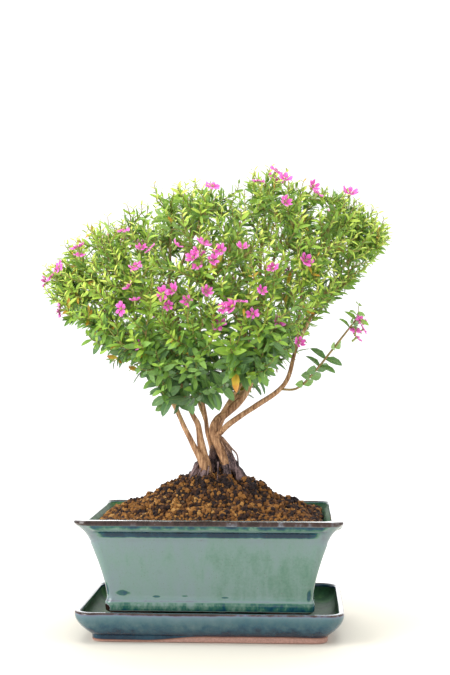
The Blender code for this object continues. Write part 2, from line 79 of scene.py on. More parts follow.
def rounded_rectangle(half_x, half_y, radius, z):
    """Points round a rectangle with round corners, close enough together to bend with the clay."""
    arcs = []
    for quarter, (side_x, side_y) in enumerate(((1, 1), (-1, 1), (-1, -1), (1, -1))):
        centre = Vector((side_x * (half_x - radius), side_y * (half_y - radius), z))
        arcs.append([])
        for step in range(CORNER_STEPS + 1):
            angle = math.radians(90) * (quarter + step / CORNER_STEPS)
            arcs[-1].append(centre + radius * Vector((math.cos(angle), math.sin(angle), 0)))
    ring = []
    for arc, following in zip(arcs, arcs[1:] + arcs[:1]):
        ring += arc
        for step in range(1, SIDE_STEPS):
            ring.append(arc[-1].lerp(following[0], 0.5 - 0.5 * math.cos(math.pi * step / SIDE_STEPS)))
    return ring


def loft(name, rings, attribute):
    """A closed solid through rings of (point, value). Faces above value 1 get the second material."""
    bm = bmesh.new()
    layer = bm.verts.layers.float.new(attribute)
    loops = []
    for ring in rings:
        loops.append([bm.verts.new(point) for point, _ in ring])
        for vert, (_, value) in zip(loops[-1], ring):
            vert[layer] = value
    for lower, upper in zip(loops, loops[1:]):
        for i, vert in enumerate(lower):
            after = (i + 1) % len(lower)
            face = bm.faces.new((vert, lower[after], upper[after], upper[i]))
            face.material_index = int(vert[layer] > 1)
    bm.faces.new(reversed(loops[0]))
    bm.faces.new(loops[-1]).material_index = int(loops[-1][0][layer] > 1)
    bmesh.ops.recalc_face_normals(bm, faces=bm.faces)
    return mesh_from(name, bm)


def mesh_from(name, bm, sharp_angle=38):
    mesh = bpy.data.meshes.new(name)
    bm.to_mesh(mesh)
    bm.free()
    mesh.shade_smooth()
    mesh.set_sharp_from_angle(angle=math.radians(sharp_angle))
    return mesh


def hand_made(mesh):
    """Lets the clay wander a little, as it does in drying and firing, but keeps what it stands on flat."""
    for vert in mesh.vertices:
        shift = noise.noise_vector(vert.co / WOBBLE_SIZE) * CLAY_WOBBLE
        shift.z *= min(vert.co.z / WOBBLE_FREE, 1)
        vert.co += shift
    return mesh


def new_piece(mesh, *materials):
    piece = bpy.data.objects.new(mesh.name, mesh)
    bpy.context.scene.collection.objects.link(piece)
    for material in materials:
        mesh.materials.append(material)
    return piece


def settle(piece, slot, *nodes):
    """Fixes a finished piece to the object, in place of its CAD nodes. Its slot, the finish, is not used."""
    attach(piece, "root")
    if nodes:
        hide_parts(*nodes)
    return piece


class Wire:
    """One output in a node tree. Sums written with it add the nodes that work them out."""

    def __init__(self, tree, socket=None):
        self.tree, self.socket = tree, socket

    def node(self, kind, settings=(), inputs=(), output=0):
        """Adds a node, makes its settings and fills its sockets, and gives one of its outputs."""
        made = self.tree.nodes.new(kind)
        for key, value in dict(settings).items():
            if key == "stops":
                while len(made.color_ramp.elements) < len(value):
                    made.color_ramp.elements.new(1.0)
                for element, (position, colour) in zip(made.color_ramp.elements, value):
                    element.position, element.color = position, (*colour, 1.0)
            else:
                setattr(made, key, value)
        for key, value in dict(inputs).items():
            for one in value if isinstance(value, list) else [value]:
                if isinstance(one, Wire):
                    self.tree.links.new(one.socket, made.inputs[key])
                else:
                    made.inputs[key].default_value = one
        return Wire(self.tree, made.outputs[output])

    def maths(self, operation, *values):
        return self.node("ShaderNodeMath", {"operation": operation}, dict(enumerate(values)))

    def __add__(self, other):
        return self.maths("ADD", self, other)

    def __sub__(self, other):
        return self.maths("SUBTRACT", self, other)

    def __mul__(self, other):
        return self.maths("MULTIPLY", self, other)

    def __pow__(self, other):
        return self.maths("POWER", self, other)

    def __rsub__(self, other):
        return self.maths("SUBTRACT", other, self)

    __radd__, __rmul__ = __add__, __mul__

    def clamped(self):
        return self.node("ShaderNodeClamp", (), {0: self})

    def rise(self, start, end):
        """0 before start and 1 after end, with a smooth change between them."""
        settings = {"interpolation_type": "SMOOTHSTEP", "clamp": True}
        return self.node("ShaderNodeMapRange", settings, {"Value": self, "From Min": start, "From Max": end})

    def vector(self, operation, other=(0, 0, 0), output=0):
        return self.node("ShaderNodeVectorMath", {"operation": operation}, {0: self, 1: other}, output)

    def times(self, scale):
        """A place or direction stretched by three numbers."""
        return self.vector("MULTIPLY", scale)

    def axis(self, name):
        """One coordinate of this place."""
        return self.node("ShaderNodeSeparateXYZ", (), {0: self}, name)

    def cloud(self, scale, detail=3.0, roughness=0.5):
        """Cloudy noise at this place, about 0.5."""
        sizes = {"Scale": scale, "Detail": detail, "Roughness": roughness}
        return self.node("ShaderNodeTexNoise", (), {"Vector": self, **sizes})

    def ramp(self, stops):
        return self.node("ShaderNodeValToRGB", {"stops": stops}, {0: self})

    def tint(self, under, over):
        """Colour over laid on colour under where this value is 1."""
        colours = [value if isinstance(value, Wire) else (*value, 1.0) for value in (under, over)]
        return self.node("ShaderNodeMix", {"data_type": "RGBA"}, {0: self, 6: colours[0], 7: colours[1]}, 2)

    def bump(self, distance, strength):
        """This value as a height in metres, made into a normal."""
        return self.node("ShaderNodeBump", (), {"Height": self, "Distance": distance, "Strength": strength})

    def attribute(self, name):
        return self.node("ShaderNodeAttribute", {"attribute_name": name}, (), "Fac")


def finish(name, **uniform):
    """A material, the place on its piece as a wire, and its shader. Uniform values go on the shader itself."""
    material = bpy.data.materials.new(name)
    material.use_nodes = True
    shader = material.node_tree.nodes["Principled BSDF"]
    for key, value in uniform.items():
        shader.inputs[key.replace("_", " ")].default_value = value
    place = Wire(material.node_tree).node("ShaderNodeTexCoord", (), (), "Object")
    return material, place, shader


def lead(shader, **varying):
    """Leads wires into the shader's sockets."""
    for key, wire in varying.items():
        wire.tree.links.new(wire.socket, shader.inputs[key.replace("_", " ")])


def glaze(name, colours, blotting, foot_height, foot_wave, sag=0.0, drips=()):
    """Runny glaze over stoneware, coloured by the thickness that the piece's own attribute gives, with painted
    shade that deepens and darkens it towards the right.
    """
    material, place, shader = finish(name, IOR=1.38, Coat_Roughness=0.05)
    across, up = place.axis("X"), place.axis("Z")
    runs = place.times((1, 1, 0.07)).cloud(170, 2.0)
    drifts = place.times((1, 1, 0.35)).cloud(38, 3.0)
    mottle = place.cloud(520, 3.0, 0.6)
    blots = place.times((1, 1, 0.6)).cloud(150, 4.0, 0.65)
    laid = place.attribute("glaze_depth")
    busy = laid.rise(0.50, 0.66) * (1 - laid.rise(0.80, 0.95) * 0.75) + (1 - laid.rise(0.10, 0.34)) * 0.5
    depth = laid + (runs - 0.5) * 0.22 + (drifts - 0.5) * 0.42 + (mottle - 0.5) * 0.14
    # The last term is painted shade: the glaze grows deeper, so darker, from x = -0.02 to 0.09 m.
    depth = depth + (blots - 0.5) * blotting * busy + across.rise(-0.020, 0.090) * 0.07
    for (x, y, z), (half_x, half_y, half_z), strength in drips:
        shaped = place.vector("SUBTRACT", (x, y, z)).times((1 / half_x, 1 / half_y, 1 / half_z))
        ragged = shaped.vector("LENGTH", output="Value") + (blots - 0.5) * 1.1
        depth = depth + (1 - ragged.rise(0.55, 1.0)) * strength
    colour = depth.clamped().ramp(colours)
    cells = {"Vector": place, "Scale": 300.0}
    crackle = place.node("ShaderNodeTexVoronoi", {"feature": "DISTANCE_TO_EDGE"}, cells)
    colour = ((1 - crackle.rise(0.0, 0.03)) * 0.10).tint(colour, (0.06, 0.09, 0.08))
    pinholes = (1 - place.cloud(1500, 0.0).rise(0.16, 0.24)) * 0.6
    colour = pinholes.tint(colour, (0.10, 0.06, 0.04))
    wave = (place.times((1, 1, 0)).cloud(16, 1.0) - 0.5) * foot_wave + (1 - across.rise(-0.050, 0.006)) * sag
    bare = 1 - (up + wave).rise(foot_height - 0.0002, foot_height + 0.0002)
    grit = place.cloud(900, 3.0, 0.6)
    clay = grit.ramp(((0.35, tuple(0.8 * c for c in BARE_CLAY)), (0.65, tuple(1.12 * c for c in BARE_CLAY))))
    seam = bare * (1 - (up + wave).rise(foot_height - 0.0014, foot_height)) + (1 - bare)
    colour = bare.tint(colour, seam.tint(GLAZE_SEAM, clay))
    rough = 0.07 + mottle * 0.06 + (1 - laid.rise(0.05, 0.2)) * 0.10 + bare * 0.70
    height = runs * 0.5 + drifts * 0.6 + mottle * 0.10 + (1 - bare) * 0.8 + bare * grit * 0.3
    coat = (1 - bare) * 0.3
    lead(shader, Base_Color=colour, Roughness=rough, Coat_Weight=coat, Normal=height.bump(0.00035, 0.55))
    return material


inside_glaze, place, shader = finish("inside_glaze", IOR=1.22)
drifts = place.times((1, 1, 0.4)).cloud(55, 4.0, 0.6)
mottle = place.cloud(480, 3.0, 0.6)
colour = (drifts * 0.7 + mottle * 0.3).ramp(INSIDE_COLOURS)
height = drifts + mottle * 0.2
lead(shader, Base_Color=colour, Roughness=0.42 + mottle * 0.20, Normal=height.bump(0.0008, 0.6))


def tray_ring(inset, z, depth):
    corner = max(TRAY_CORNER - 0.4 * inset, 0.004)
    points = rounded_rectangle(TRAY_HALF_WIDTH - inset, TRAY_HALF_DEPTH - inset, corner, z)
    return [(point, depth) for point in points]


def tray_side(step):
    """Inset, height and glaze depth on the rounded outside, from the foot at 0 to the shoulder at 1."""
    z = TRAY_FOOT + 0.0004 + (TRAY_SHOULDER - TRAY_FOOT - 0.0004) * step
    inset = (TRAY_FOOT_INSET - 0.0010) * ((TRAY_SHOULDER - z) / (TRAY_SHOULDER - TRAY_FOOT)) ** 1.7
    depth = POOLED - 0.26 * min(step / 0.42, 1) - 0.27 * max(step - 0.42, 0) / 0.58
    return tray_ring(inset, z, depth)


foot_rings = ((0.0010, 0.0), (0.0003, 0.0004), (0.0, 0.0012), (0.0, 0.0030), (-0.0002, 0.0048))
tray_rings = [tray_ring(TRAY_FOOT_INSET + inset, z, POOLED) for inset, z in foot_rings]
tray_rings += [tray_side(step / TRAY_SIDE_STEPS) for step in range(TRAY_SIDE_STEPS + 1)]
# As (inset, drop from the rim, depth).
tray_lip = (
    (0.0, 0.0018, THIN), (0.0001, 0.0010, BROKEN), (0.0005, 0.0004, BROKEN), (0.0011, 0.0001, BROKEN),
    (0.0018, 0.0, 0.60), (0.0027, 0.0, 0.72), (0.0034, 0.0002, BROKEN), (0.0039, 0.0006, BROKEN),
    (0.0043, 0.0015, 0.9),
)
tray_rings += [tray_ring(inset, TRAY_RIM - drop, depth) for inset, drop, depth in tray_lip]
lip_inset, lip_drop, _ = tray_lip[-1]
for step in range(1, TRAY_WELL_STEPS + 1):
    angle = math.radians(90) * step / TRAY_WELL_STEPS
    inset = lip_inset + 0.0107 * (1 - math.cos(angle)) ** 1.3
    z = TRAY_RIM - lip_drop - (TRAY_RIM - lip_drop - TRAY_FLOOR) * math.sin(angle)
    tray_rings.append(tray_ring(inset, z, INSIDE))
tray_rings += [tray_ring(inset, TRAY_FLOOR, INSIDE) for inset in (0.020, 0.032, 0.048)]

tray_glaze = glaze("tray_glaze", TRAY_COLOURS, blotting=0.80, foot_height=0.0049, foot_wave=0.0026, sag=0.0030)
tray = new_piece(hand_made(loft("glazed_tray", tray_rings, "glaze_depth")), tray_glaze, inside_glaze)
settle(tray, "tray_glaze", "drip_tray")


# ----------------------------------------------------------------------
# Pot. A flared stoneware box with a turned-out lip, on four corner feet with low arches between
# them. The glaze breaks brown on the lip's edges, pools dark in the cove under the lip, and runs
# down the walls to a thick band just above the feet.

POT_HALF_WIDTH, POT_HALF_DEPTH, POT_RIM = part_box("pot")[1]
POT_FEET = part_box("pot")[0].z
POT_CORNER = 0.011
POT_BODY, POT_WAIST, POT_WAIST_INSET = 0.0215, 0.032, 0.0226
POT_COVE, POT_COVE_INSET, GLAZE_THINS = 0.0795, 0.0092, 0.062
POT_WALL, POT_FLOOR, POT_RECESS = 0.0065, 0.0280, 0.0200
WALL_STEPS = 22
FOOT_INSET = 0.0255
FOOT_BACK = FOOT_INSET + 0.010
ARCH_HALF_X, ARCH_HALF_Y, ARCH_ROUND = 0.045, 0.022, 0.005
DRAIN_RADIUS, DRAIN_X, CUTTER_HEIGHT, CUTTER_REACH = 0.008, 0.038, 0.03, 0.2
POT_COLOURS = (
    (0.00, (0.018, 0.008, 0.006)), (0.12, (0.048, 0.026, 0.021)), (0.24, (0.165, 0.185, 0.215)),
    (0.36, (0.178, 0.248, 0.258)), (0.48, (0.160, 0.255, 0.228)), (0.58, (0.108, 0.212, 0.160)),
    (0.70, (0.032, 0.125, 0.090)), (0.84, (0.008, 0.060, 0.095)), (1.00, (0.003, 0.024, 0.050)),
)
# The corners' own slope from the wall out to the lip, as (height, inset).
CORNER_FILL = (
    (0.0740, 0.0119), (0.0795, 0.0092), (0.0826, 0.0070), (0.0855, 0.0044), (0.0880, 0.0017), (0.0905, 0.0),
)
# How many of the lip's rings that slope reaches.
FILLED_RINGS = 12
# How thickly the glaze lies on it, how near a corner it is full, and the length over which it fades.
CORNER_GLAZE, FILL_FULL, FILL_LENGTH = 0.34, 0.007, 0.009


def read_table(table, at):
    """The values of a table of (place, value, ...) rows at a place between two of its rows."""
    for (start, *before), (end, *after) in zip(table, table[1:]):
        if start <= at <= end:
            share = (at - start) / (end - start)
            return [a + (b - a) * share for a, b in zip(before, after)]


def pot_ring(inset, z, depth=EVEN):
    corner = max(POT_CORNER - 0.25 * inset, 0.004)
    points = rounded_rectangle(POT_HALF_WIDTH - inset, POT_HALF_DEPTH - inset, corner, z)
    return [(point, depth) for point in points]


def outer_ring(inset, z, depth):
    """A ring on the outside, where the cove under the lip is filled in towards each corner."""
    ring = pot_ring(inset, z, depth)
    fill = read_table(CORNER_FILL, z)
    if fill:
        filled = pot_ring(fill[0], z, min(depth, CORNER_GLAZE))
        for i, (point, _) in enumerate(ring):
            near = min(abs(abs(point.x) - POT_HALF_WIDTH), abs(abs(point.y) - POT_HALF_DEPTH))
            away = max(POT_HALF_WIDTH - abs(point.x), POT_HALF_DEPTH - abs(point.y)) - near
            full = 1 - min(max((away - FILL_FULL) / FILL_LENGTH, 0), 1)
            full = full * full * (3 - 2 * full)
            ring[i] = (point.lerp(filled[i][0], full), depth + (filled[i][1] - depth) * full)
    return ring


def pot_flare(z):
    """How far the outer wall stands in from the lip at height z, a hollow curve from waist to cove."""
    above = max(z - POT_WAIST, 0) / (POT_COVE - POT_WAIST)
    return POT_WAIST_INSET - (POT_WAIST_INSET - POT_COVE_INSET) * above**1.4


def pot_inside(z):
    """The same for the inner wall, which runs parallel to the outer one."""
    return pot_flare(min(z, POT_COVE)) + POT_WALL - 0.35 * max(z - POT_COVE, 0)


def wall_depth(z):
    """The glaze's depth on the outer wall, which thins towards the top."""
    return EVEN + 0.02 - 0.10 * max((z - GLAZE_THINS) / (POT_COVE - GLAZE_THINS), 0)


# The underside and the feet, as (inset, height, depth).
base_rings = (
    (FOOT_BACK + 0.0014, POT_RECESS, BROKEN), (FOOT_BACK + 0.0004, POT_RECESS - 0.0020, BROKEN),
    (FOOT_BACK, POT_FEET + 0.0006, BROKEN), (FOOT_BACK - 0.0006, POT_FEET, BROKEN),
    (FOOT_INSET + 0.0006, POT_FEET, BROKEN), (FOOT_INSET, POT_FEET + 0.0006, BROKEN),
    (FOOT_INSET - 0.0005, POT_BODY - 0.0040, BROKEN), (FOOT_INSET - 0.0010, POT_BODY - 0.0010, BROKEN),
)
# The thick band above the feet, as (way out from the waist, height above the feet's edge, depth).
band_rings = (
    (0.0001, -0.0002, BROKEN), (0.0007, 0.0004, BROKEN), (0.0010, 0.0012, 0.76), (0.0012, 0.0026, 0.68),
    (0.0013, 0.0048, 0.65), (0.0012, 0.0068, 0.60), (0.0008, 0.0078, 0.30), (0.0003, 0.0090, EVEN),
)
pot_rings = [pot_ring(inset, z, depth) for inset, z, depth in base_rings]
pot_rings += [pot_ring(POT_WAIST_INSET - out, POT_BODY + above, depth) for out, above, depth in band_rings]
wall_steps = [POT_WAIST + (POT_COVE - POT_WAIST) * step / WALL_STEPS for step in range(WALL_STEPS + 1)]
pot_rings += [outer_ring(pot_flare(z), z, wall_depth(z)) for z in wall_steps[:-1]]
# The cove and the lip, as (inset, drop from the rim, depth).
lip_rings = (
    (POT_COVE_INSET + 0.0003, 0.0137, 0.42), (POT_COVE_INSET + 0.0002, 0.0128, 0.90),
    (POT_COVE_INSET - 0.0002, 0.0116, 0.99), (0.0084, 0.0099, POOLED), (0.0070, 0.0091, POOLED),
    (0.0050, 0.0083, 0.40), (0.0034, 0.0078, 0.34), (0.0022, 0.0070, 0.52), (0.0013, 0.0060, 0.66),
    (0.0006, 0.0048, 0.80), (0.0002, 0.0038, 0.84), (0.0001, 0.0036, 0.08), (0.0001, 0.0021, BROKEN),
    (0.0006, 0.0006, BROKEN), (0.0014, 0.0001, 0.10), (0.0024, 0.0, 0.34), (0.0046, 0.0001, EVEN),
    (0.0070, 0.0001, 0.36), (0.0082, 0.0003, BROKEN), (0.0089, 0.0009, BROKEN), (0.0094, 0.0020, 1.1),
    (0.0110, 0.0042, INSIDE),
)
for number, (inset, drop, depth) in enumerate(lip_rings):
    made_ring = outer_ring if number < FILLED_RINGS else pot_ring
    pot_rings.append(made_ring(inset, POT_RIM - drop, depth))
pot_rings += [pot_ring(pot_inside(z), z, INSIDE) for z in (0.0850, *reversed(wall_steps[::3]))]
floor_rings = ((0.0010, 0.0295), (0.0030, POT_FLOOR))
pot_rings += [pot_ring(pot_inside(POT_WAIST) + inset, z) for inset, z in floor_rings]

# Where thick runs and drops of glaze stopped on the walls: their middle, half sizes and depth.
pot_drips = (
    ((-0.0765, -0.0520, 0.0385), (0.0021, 0.0030, 0.0095), 0.50),
    ((-0.0768, -0.0525, 0.0245), (0.0034, 0.0050, 0.0034), -0.62),
    ((-0.0648, -0.0540, 0.0355), (0.0062, 0.004, 0.0026), 0.34),
    ((-0.0395, -0.0535, 0.0330), (0.0038, 0.004, 0.0011), 0.32),
    ((-0.0180, -0.0535, 0.0335), (0.0028, 0.004, 0.0008), 0.30),
    ((0.0120, -0.0535, 0.0325), (0.0034, 0.004, 0.0009), 0.28),
    ((0.0745, -0.0520, 0.0350), (0.0024, 0.004, 0.0065), 0.26),
    ((0.0660, 0.0530, 0.0400), (0.0030, 0.004, 0.0100), 0.45),
    ((-0.0300, 0.0530, 0.0360), (0.0060, 0.004, 0.0022), 0.34),
    ((-0.0785, 0.0200, 0.0370), (0.004, 0.0040, 0.0026), 0.36),
    ((0.0785, -0.0150, 0.0360), (0.004, 0.0050, 0.0020), 0.36),
)
pot_glaze = glaze(
    "pot_glaze", POT_COLOURS, blotting=1.00, foot_height=POT_BODY - 0.0012, foot_wave=0.0016, drips=pot_drips,
)
pot = new_piece(hand_made(loft("glazed_pot", pot_rings, "glaze_depth")), pot_glaze, inside_glaze)


def arch_cutter(half_x, half_y):
    """A long block with rounded upper edges, which leaves an arch between two feet."""
    bm = bmesh.new()
    bmesh.ops.create_cube(bm, size=1, matrix=Matrix.Diagonal((2 * half_x, 2 * half_y, CUTTER_HEIGHT, 1)))
    along = 0 if half_x > half_y else 1
    long = CUTTER_REACH / 4
    edges = [e for e in bm.edges if e.verts[0].co.z > 0 and abs((e.verts[0].co - e.verts[1].co)[along]) > long]
    bmesh.ops.bevel(bm, geom=edges, offset=ARCH_ROUND, segments=6, profile=0.5, affect="EDGES")
    bmesh.ops.translate(bm, verts=bm.verts, vec=(0, 0, POT_RECESS + 0.0008 - CUTTER_HEIGHT / 2))
    return mesh_from("arch", bm)


def drain_cutter(x):
    bm = bmesh.new()
    sizes = {"radius1": DRAIN_RADIUS, "radius2": DRAIN_RADIUS, "depth": CUTTER_HEIGHT}
    bmesh.ops.create_cone(bm, cap_ends=True, segments=40, **sizes)
    bmesh.ops.translate(bm, verts=bm.verts, vec=(x, 0, POT_FLOOR))
    return mesh_from("drain", bm)


def as_made(piece):
    """The piece's mesh with its modifiers applied."""
    graph = bpy.context.evaluated_depsgraph_get()
    graph.update()
    return bpy.data.meshes.new_from_object(piece.evaluated_get(graph), depsgraph=graph)


cutters = [new_piece(mesh) for mesh in (
    arch_cutter(ARCH_HALF_X, CUTTER_REACH), arch_cutter(CUTTER_REACH, ARCH_HALF_Y), drain_cutter(-DRAIN_X),
    drain_cutter(DRAIN_X),
)]
for cutter in cutters:
    opening = pot.modifiers.new(cutter.name, "BOOLEAN")
    opening.operation, opening.object = "DIFFERENCE", cutter
pot.data = as_made(pot)
pot.modifiers.clear()
for cutter in cutters:
    bpy.data.objects.remove(cutter)
pot.data.set_sharp_from_angle(angle=math.radians(38))
settle(pot, "pot_glaze", "pot")


# ----------------------------------------------------------------------
# Drain nets. A square of black plastic net lies over each drain hole and keeps the grains in.
# It is cut from a moulded sheet, so its bars are square and slightly scuffed.

net_plastic, place, shader = finish("net_plastic", IOR=1.46)
scuff = place.times((1, 1, 3)).cloud(700, 4.0, 0.65)
colour = scuff.rise(0.5, 0.72).tint((0.010, 0.011, 0.010), (0.045, 0.040, 0.034))
lead(shader, Base_Color=colour, Roughness=0.38 + scuff * 0.3, Normal=scuff.bump(0.0001, 0.5))
for node in ("left_drain_net", "right_drain_net"):
    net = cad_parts[node]
    net.data.materials.clear()
    net.data.materials.append(net_plastic)


# ----------------------------------------------------------------------
# Soil. A mound of fired-clay grains, tan to dark brown, with near-black humus between them.
# The grains were poured round the root ball and heaped up to it. The humus is darker and more
# fibrous on the right, where the root ball shows through.

SOIL_BOTTOM, SOIL_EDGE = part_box("soil_bed")[0].z, 0.0862
SOIL_MOUND, SOIL_LUMP = 0.0355, 0.0056
# How much of the mound's height is left at each share of the way out to the wall.
SOIL_PROFILE = ((0.0, 1.0), (0.30, 0.85), (0.46, 0.66), (0.60, 0.42), (0.78, 0.26), (1.01, 0.06))
GRAIN_SIZES, CRUMB_SIZES = (0.0024, 0.0056), (0.0012, 0.0034)
GRAIN_SPACING, CRUMB_SPACING = 0.0022, 0.0022
CROWN_FOOT = (0.006, 0.004, 0.119)
SOIL_RINGS = 26


def soil_height(x, y, half_x, half_y):
    """The heaped surface: steep at the root ball, then easing out towards the pot's wall."""
    reach = min(math.hypot(x / half_x, y / half_y), 1)
    lump = noise.fractal(Vector((x, y, 0)) / 0.011, 1.0, 2.0, 3) * SOIL_LUMP * min(4 * (1 - reach), 1)
    return SOIL_EDGE + SOIL_MOUND * read_table(SOIL_PROFILE, reach)[0] + lump


soil_rings = []
for z in (SOIL_BOTTOM, POT_WAIST, 0.045, 0.058, 0.070, POT_COVE, SOIL_EDGE):
    soil_rings.append(pot_ring(pot_inside(z) + 0.0012, z, 0.0))
edge = [point for point, _ in soil_rings[-1]]
edge_x, edge_y = max(point.x for point in edge), max(point.y for point in edge)
for share in (1 - step / SOIL_RINGS for step in range(1, SOIL_RINGS)):
    ring = [Vector((point.x * share, point.y * share, 0)) for point in edge]
    for point in ring:
        point.z = soil_height(point.x, point.y, edge_x, edge_y)
    soil_rings.append([(point, 1.0) for point in ring])

humus, place, shader = finish("humus", IOR=1.35)
fibres = place.times((1, 2.4, 1)).cloud(420, 5.0, 0.7)
crumbs = place.cloud(900, 4.0, 0.6)
colour = fibres.ramp((
    (0.30, (0.006, 0.004, 0.005)), (0.52, (0.030, 0.018, 0.013)), (0.75, (0.110, 0.062, 0.034)),
))
lead(shader, Base_Color=colour, Roughness=0.75 + crumbs * 0.2, Normal=(fibres + crumbs * 0.6).bump(0.0012, 0.9))

soil = new_piece(loft("soil_mound", soil_rings, "surface"), humus)
settle(soil, "soil", "soil_bed")


def grain_shape(name, seed, flatness):
    """A rough angular grain about one unit across."""
    rng = random.Random(seed)
    bm = bmesh.new()
    bmesh.ops.create_uvsphere(bm, u_segments=6, v_segments=4, radius=0.5)
    for vert in bm.verts:
        vert.co *= 1 + rng.uniform(-0.30, 0.24)
        vert.co.z *= flatness
    return mesh_from(name, bm, 14)


def node_tree(name, inputs):
    """A Geometry Nodes tree with named inputs. Gives the tree and its inputs as wires."""
    tree = bpy.data.node_groups.new(name, "GeometryNodeTree")
    tree.interface.new_socket("Geometry", in_out="OUTPUT", socket_type="NodeSocketGeometry")
    source = tree.nodes.new("NodeGroupInput")
    for label, kind in inputs.items():
        tree.interface.new_socket(label, in_out="INPUT", socket_type="NodeSocket" + kind)
    return tree, {label: Wire(tree, source.outputs[label]) for label in inputs}


def end_tree(tree, result):
    output = tree.nodes.new("NodeGroupOutput")
    tree.links.new(result.socket, output.inputs[0])


def random_value(wire, low, high, seed):
    return wire.node("FunctionNodeRandomValue", {"data_type": "FLOAT"}, {2: low, 3: high, 8: seed}, 1)


def grown(obj, tree, values, name):
    """Runs a tree on an object once and gives the result as a plain mesh."""
    modifier = obj.modifiers.new(tree.name, "NODES")
    modifier.node_group = tree
    for item in tree.interface.items_tree:
        if item.in_out == "INPUT" and item.name in values:
            modifier[item.identifier] = values[item.name]
    mesh = as_made(obj)
    mesh.name = name
    obj.modifiers.remove(modifier)
    return mesh


scatter, given = node_tree("scatter_grains", {
    "Geometry": "Geometry", "Grain A": "Object", "Grain B": "Object", "Spacing": "Float",
    "Smallest": "Float", "Largest": "Float", "Share": "Float", "Seed": "Int", "Grain material": "Material",
})
soil_mesh = given["Geometry"]
on_top = soil_mesh.node("GeometryNodeInputNamedAttribute", {"data_type": "FLOAT"}, {"Name": "surface"})
points = soil_mesh.node("GeometryNodeDistributePointsOnFaces", {"distribute_method": "POISSON"}, {
    "Mesh": soil_mesh, "Selection": on_top.maths("GREATER_THAN", on_top, 0.3), "Density Max": 900000.0,
    "Distance Min": given["Spacing"], "Density Factor": given["Share"], "Seed": given["Seed"],
})
turn = soil_mesh.node("FunctionNodeRandomValue", {"data_type": "FLOAT_VECTOR"}, {
    0: (0, 0, 0), 1: (6.28, 6.28, 6.28), 8: given["Seed"],
})
size = random_value(soil_mesh, 0.0, 1.0, given["Seed"] + 1) ** 1.6
size = given["Smallest"] + size * (given["Largest"] - given["Smallest"])
which = random_value(soil_mesh, 0.0, 1.0, given["Seed"] + 2)
heaps = []
for label, side in (("Grain A", "GREATER_THAN"), ("Grain B", "LESS_THAN")):
    grain = soil_mesh.node("GeometryNodeObjectInfo", (), {"Object": given[label]}, "Geometry")
    heaps.append(soil_mesh.node("GeometryNodeInstanceOnPoints", (), {
        "Points": points, "Selection": which.maths(side, which, 0.5), "Instance": grain, "Rotation": turn,
        "Scale": size,
    }))
heap = soil_mesh.node("GeometryNodeJoinGeometry", (), {0: heaps})
heap = soil_mesh.node("GeometryNodeStoreNamedAttribute", {"data_type": "FLOAT", "domain": "INSTANCE"}, {
    "Geometry": heap, "Name": "grain_tone", "Value": random_value(soil_mesh, 0.0, 1.0, given["Seed"] + 3),
})
heap = soil_mesh.node("GeometryNodeRealizeInstances", (), {0: heap})
heap = soil_mesh.node("GeometryNodeSetMaterial", (), {"Geometry": heap, "Material": given["Grain material"]})
end_tree(scatter, heap)


def grain_finish(name, stops, side_dark):
    """Porous fired clay. Grains on the right are darker, stained by the humus, and grains round the crown are
    darker as well.
    """
    material, place, shader = finish(name, IOR=1.4)
    pores = place.cloud(1600, 4.0, 0.65)
    stain = place.cloud(160, 3.0)
    from_crown = place.vector("DISTANCE", CROWN_FOOT, "Value")
    stained_and_crown_dark = place.axis("X").rise(-0.010, 0.060) + 1 - from_crown.rise(0.024, 0.054)
    tone = place.attribute("grain_tone") + (pores - 0.5) * 0.45 + (stain - 0.5) * 1.3 - stained_and_crown_dark * side_dark
    colour = tone.clamped().ramp(stops)
    lead(shader, Base_Color=colour, Roughness=0.80 + pores * 0.15, Normal=pores.bump(0.0006, 0.9))
    return material


clay_grain = grain_finish("clay_grain", (
    (0.0, (0.016, 0.008, 0.008)), (0.22, (0.070, 0.028, 0.011)), (0.55, (0.230, 0.095, 0.020)),
    (0.85, (0.320, 0.142, 0.032)), (1.0, (0.440, 0.230, 0.066)),
), 0.22)
humus_crumb = grain_finish("humus_crumb", (
    (0.0, (0.006, 0.004, 0.006)), (0.5, (0.022, 0.013, 0.012)), (0.85, (0.060, 0.034, 0.022)),
    (1.0, (0.150, 0.100, 0.060)),
), 0.05)
grain_pair = [new_piece(grain_shape("grain", seed, flat)) for seed, flat in ((3, 0.85), (8, 0.7))]
for name, material, sizes, spacing, share, seed in (
    ("clay_grains", clay_grain, GRAIN_SIZES, GRAIN_SPACING, 1.0, 5),
    ("humus_crumbs", humus_crumb, CRUMB_SIZES, CRUMB_SPACING, 0.7, 12),
):
    mesh = grown(soil, scatter, {
        "Grain A": grain_pair[0], "Grain B": grain_pair[1], "Spacing": spacing, "Smallest": sizes[0],
        "Largest": sizes[1], "Share": share, "Seed": seed, "Grain material": material,
    }, name)
    settle(new_piece(mesh), "soil")
for grain in grain_pair:
    bpy.data.objects.remove(grain)


# ----------------------------------------------------------------------
# Stems and branches. Five stems rise from the root crown and fork into thinner branches, all in
# thin tan bark with long shallow furrows. The bark is darkest at the foot, and young wood is
# greener. Each one tapers to the leafy shoots that it carries.

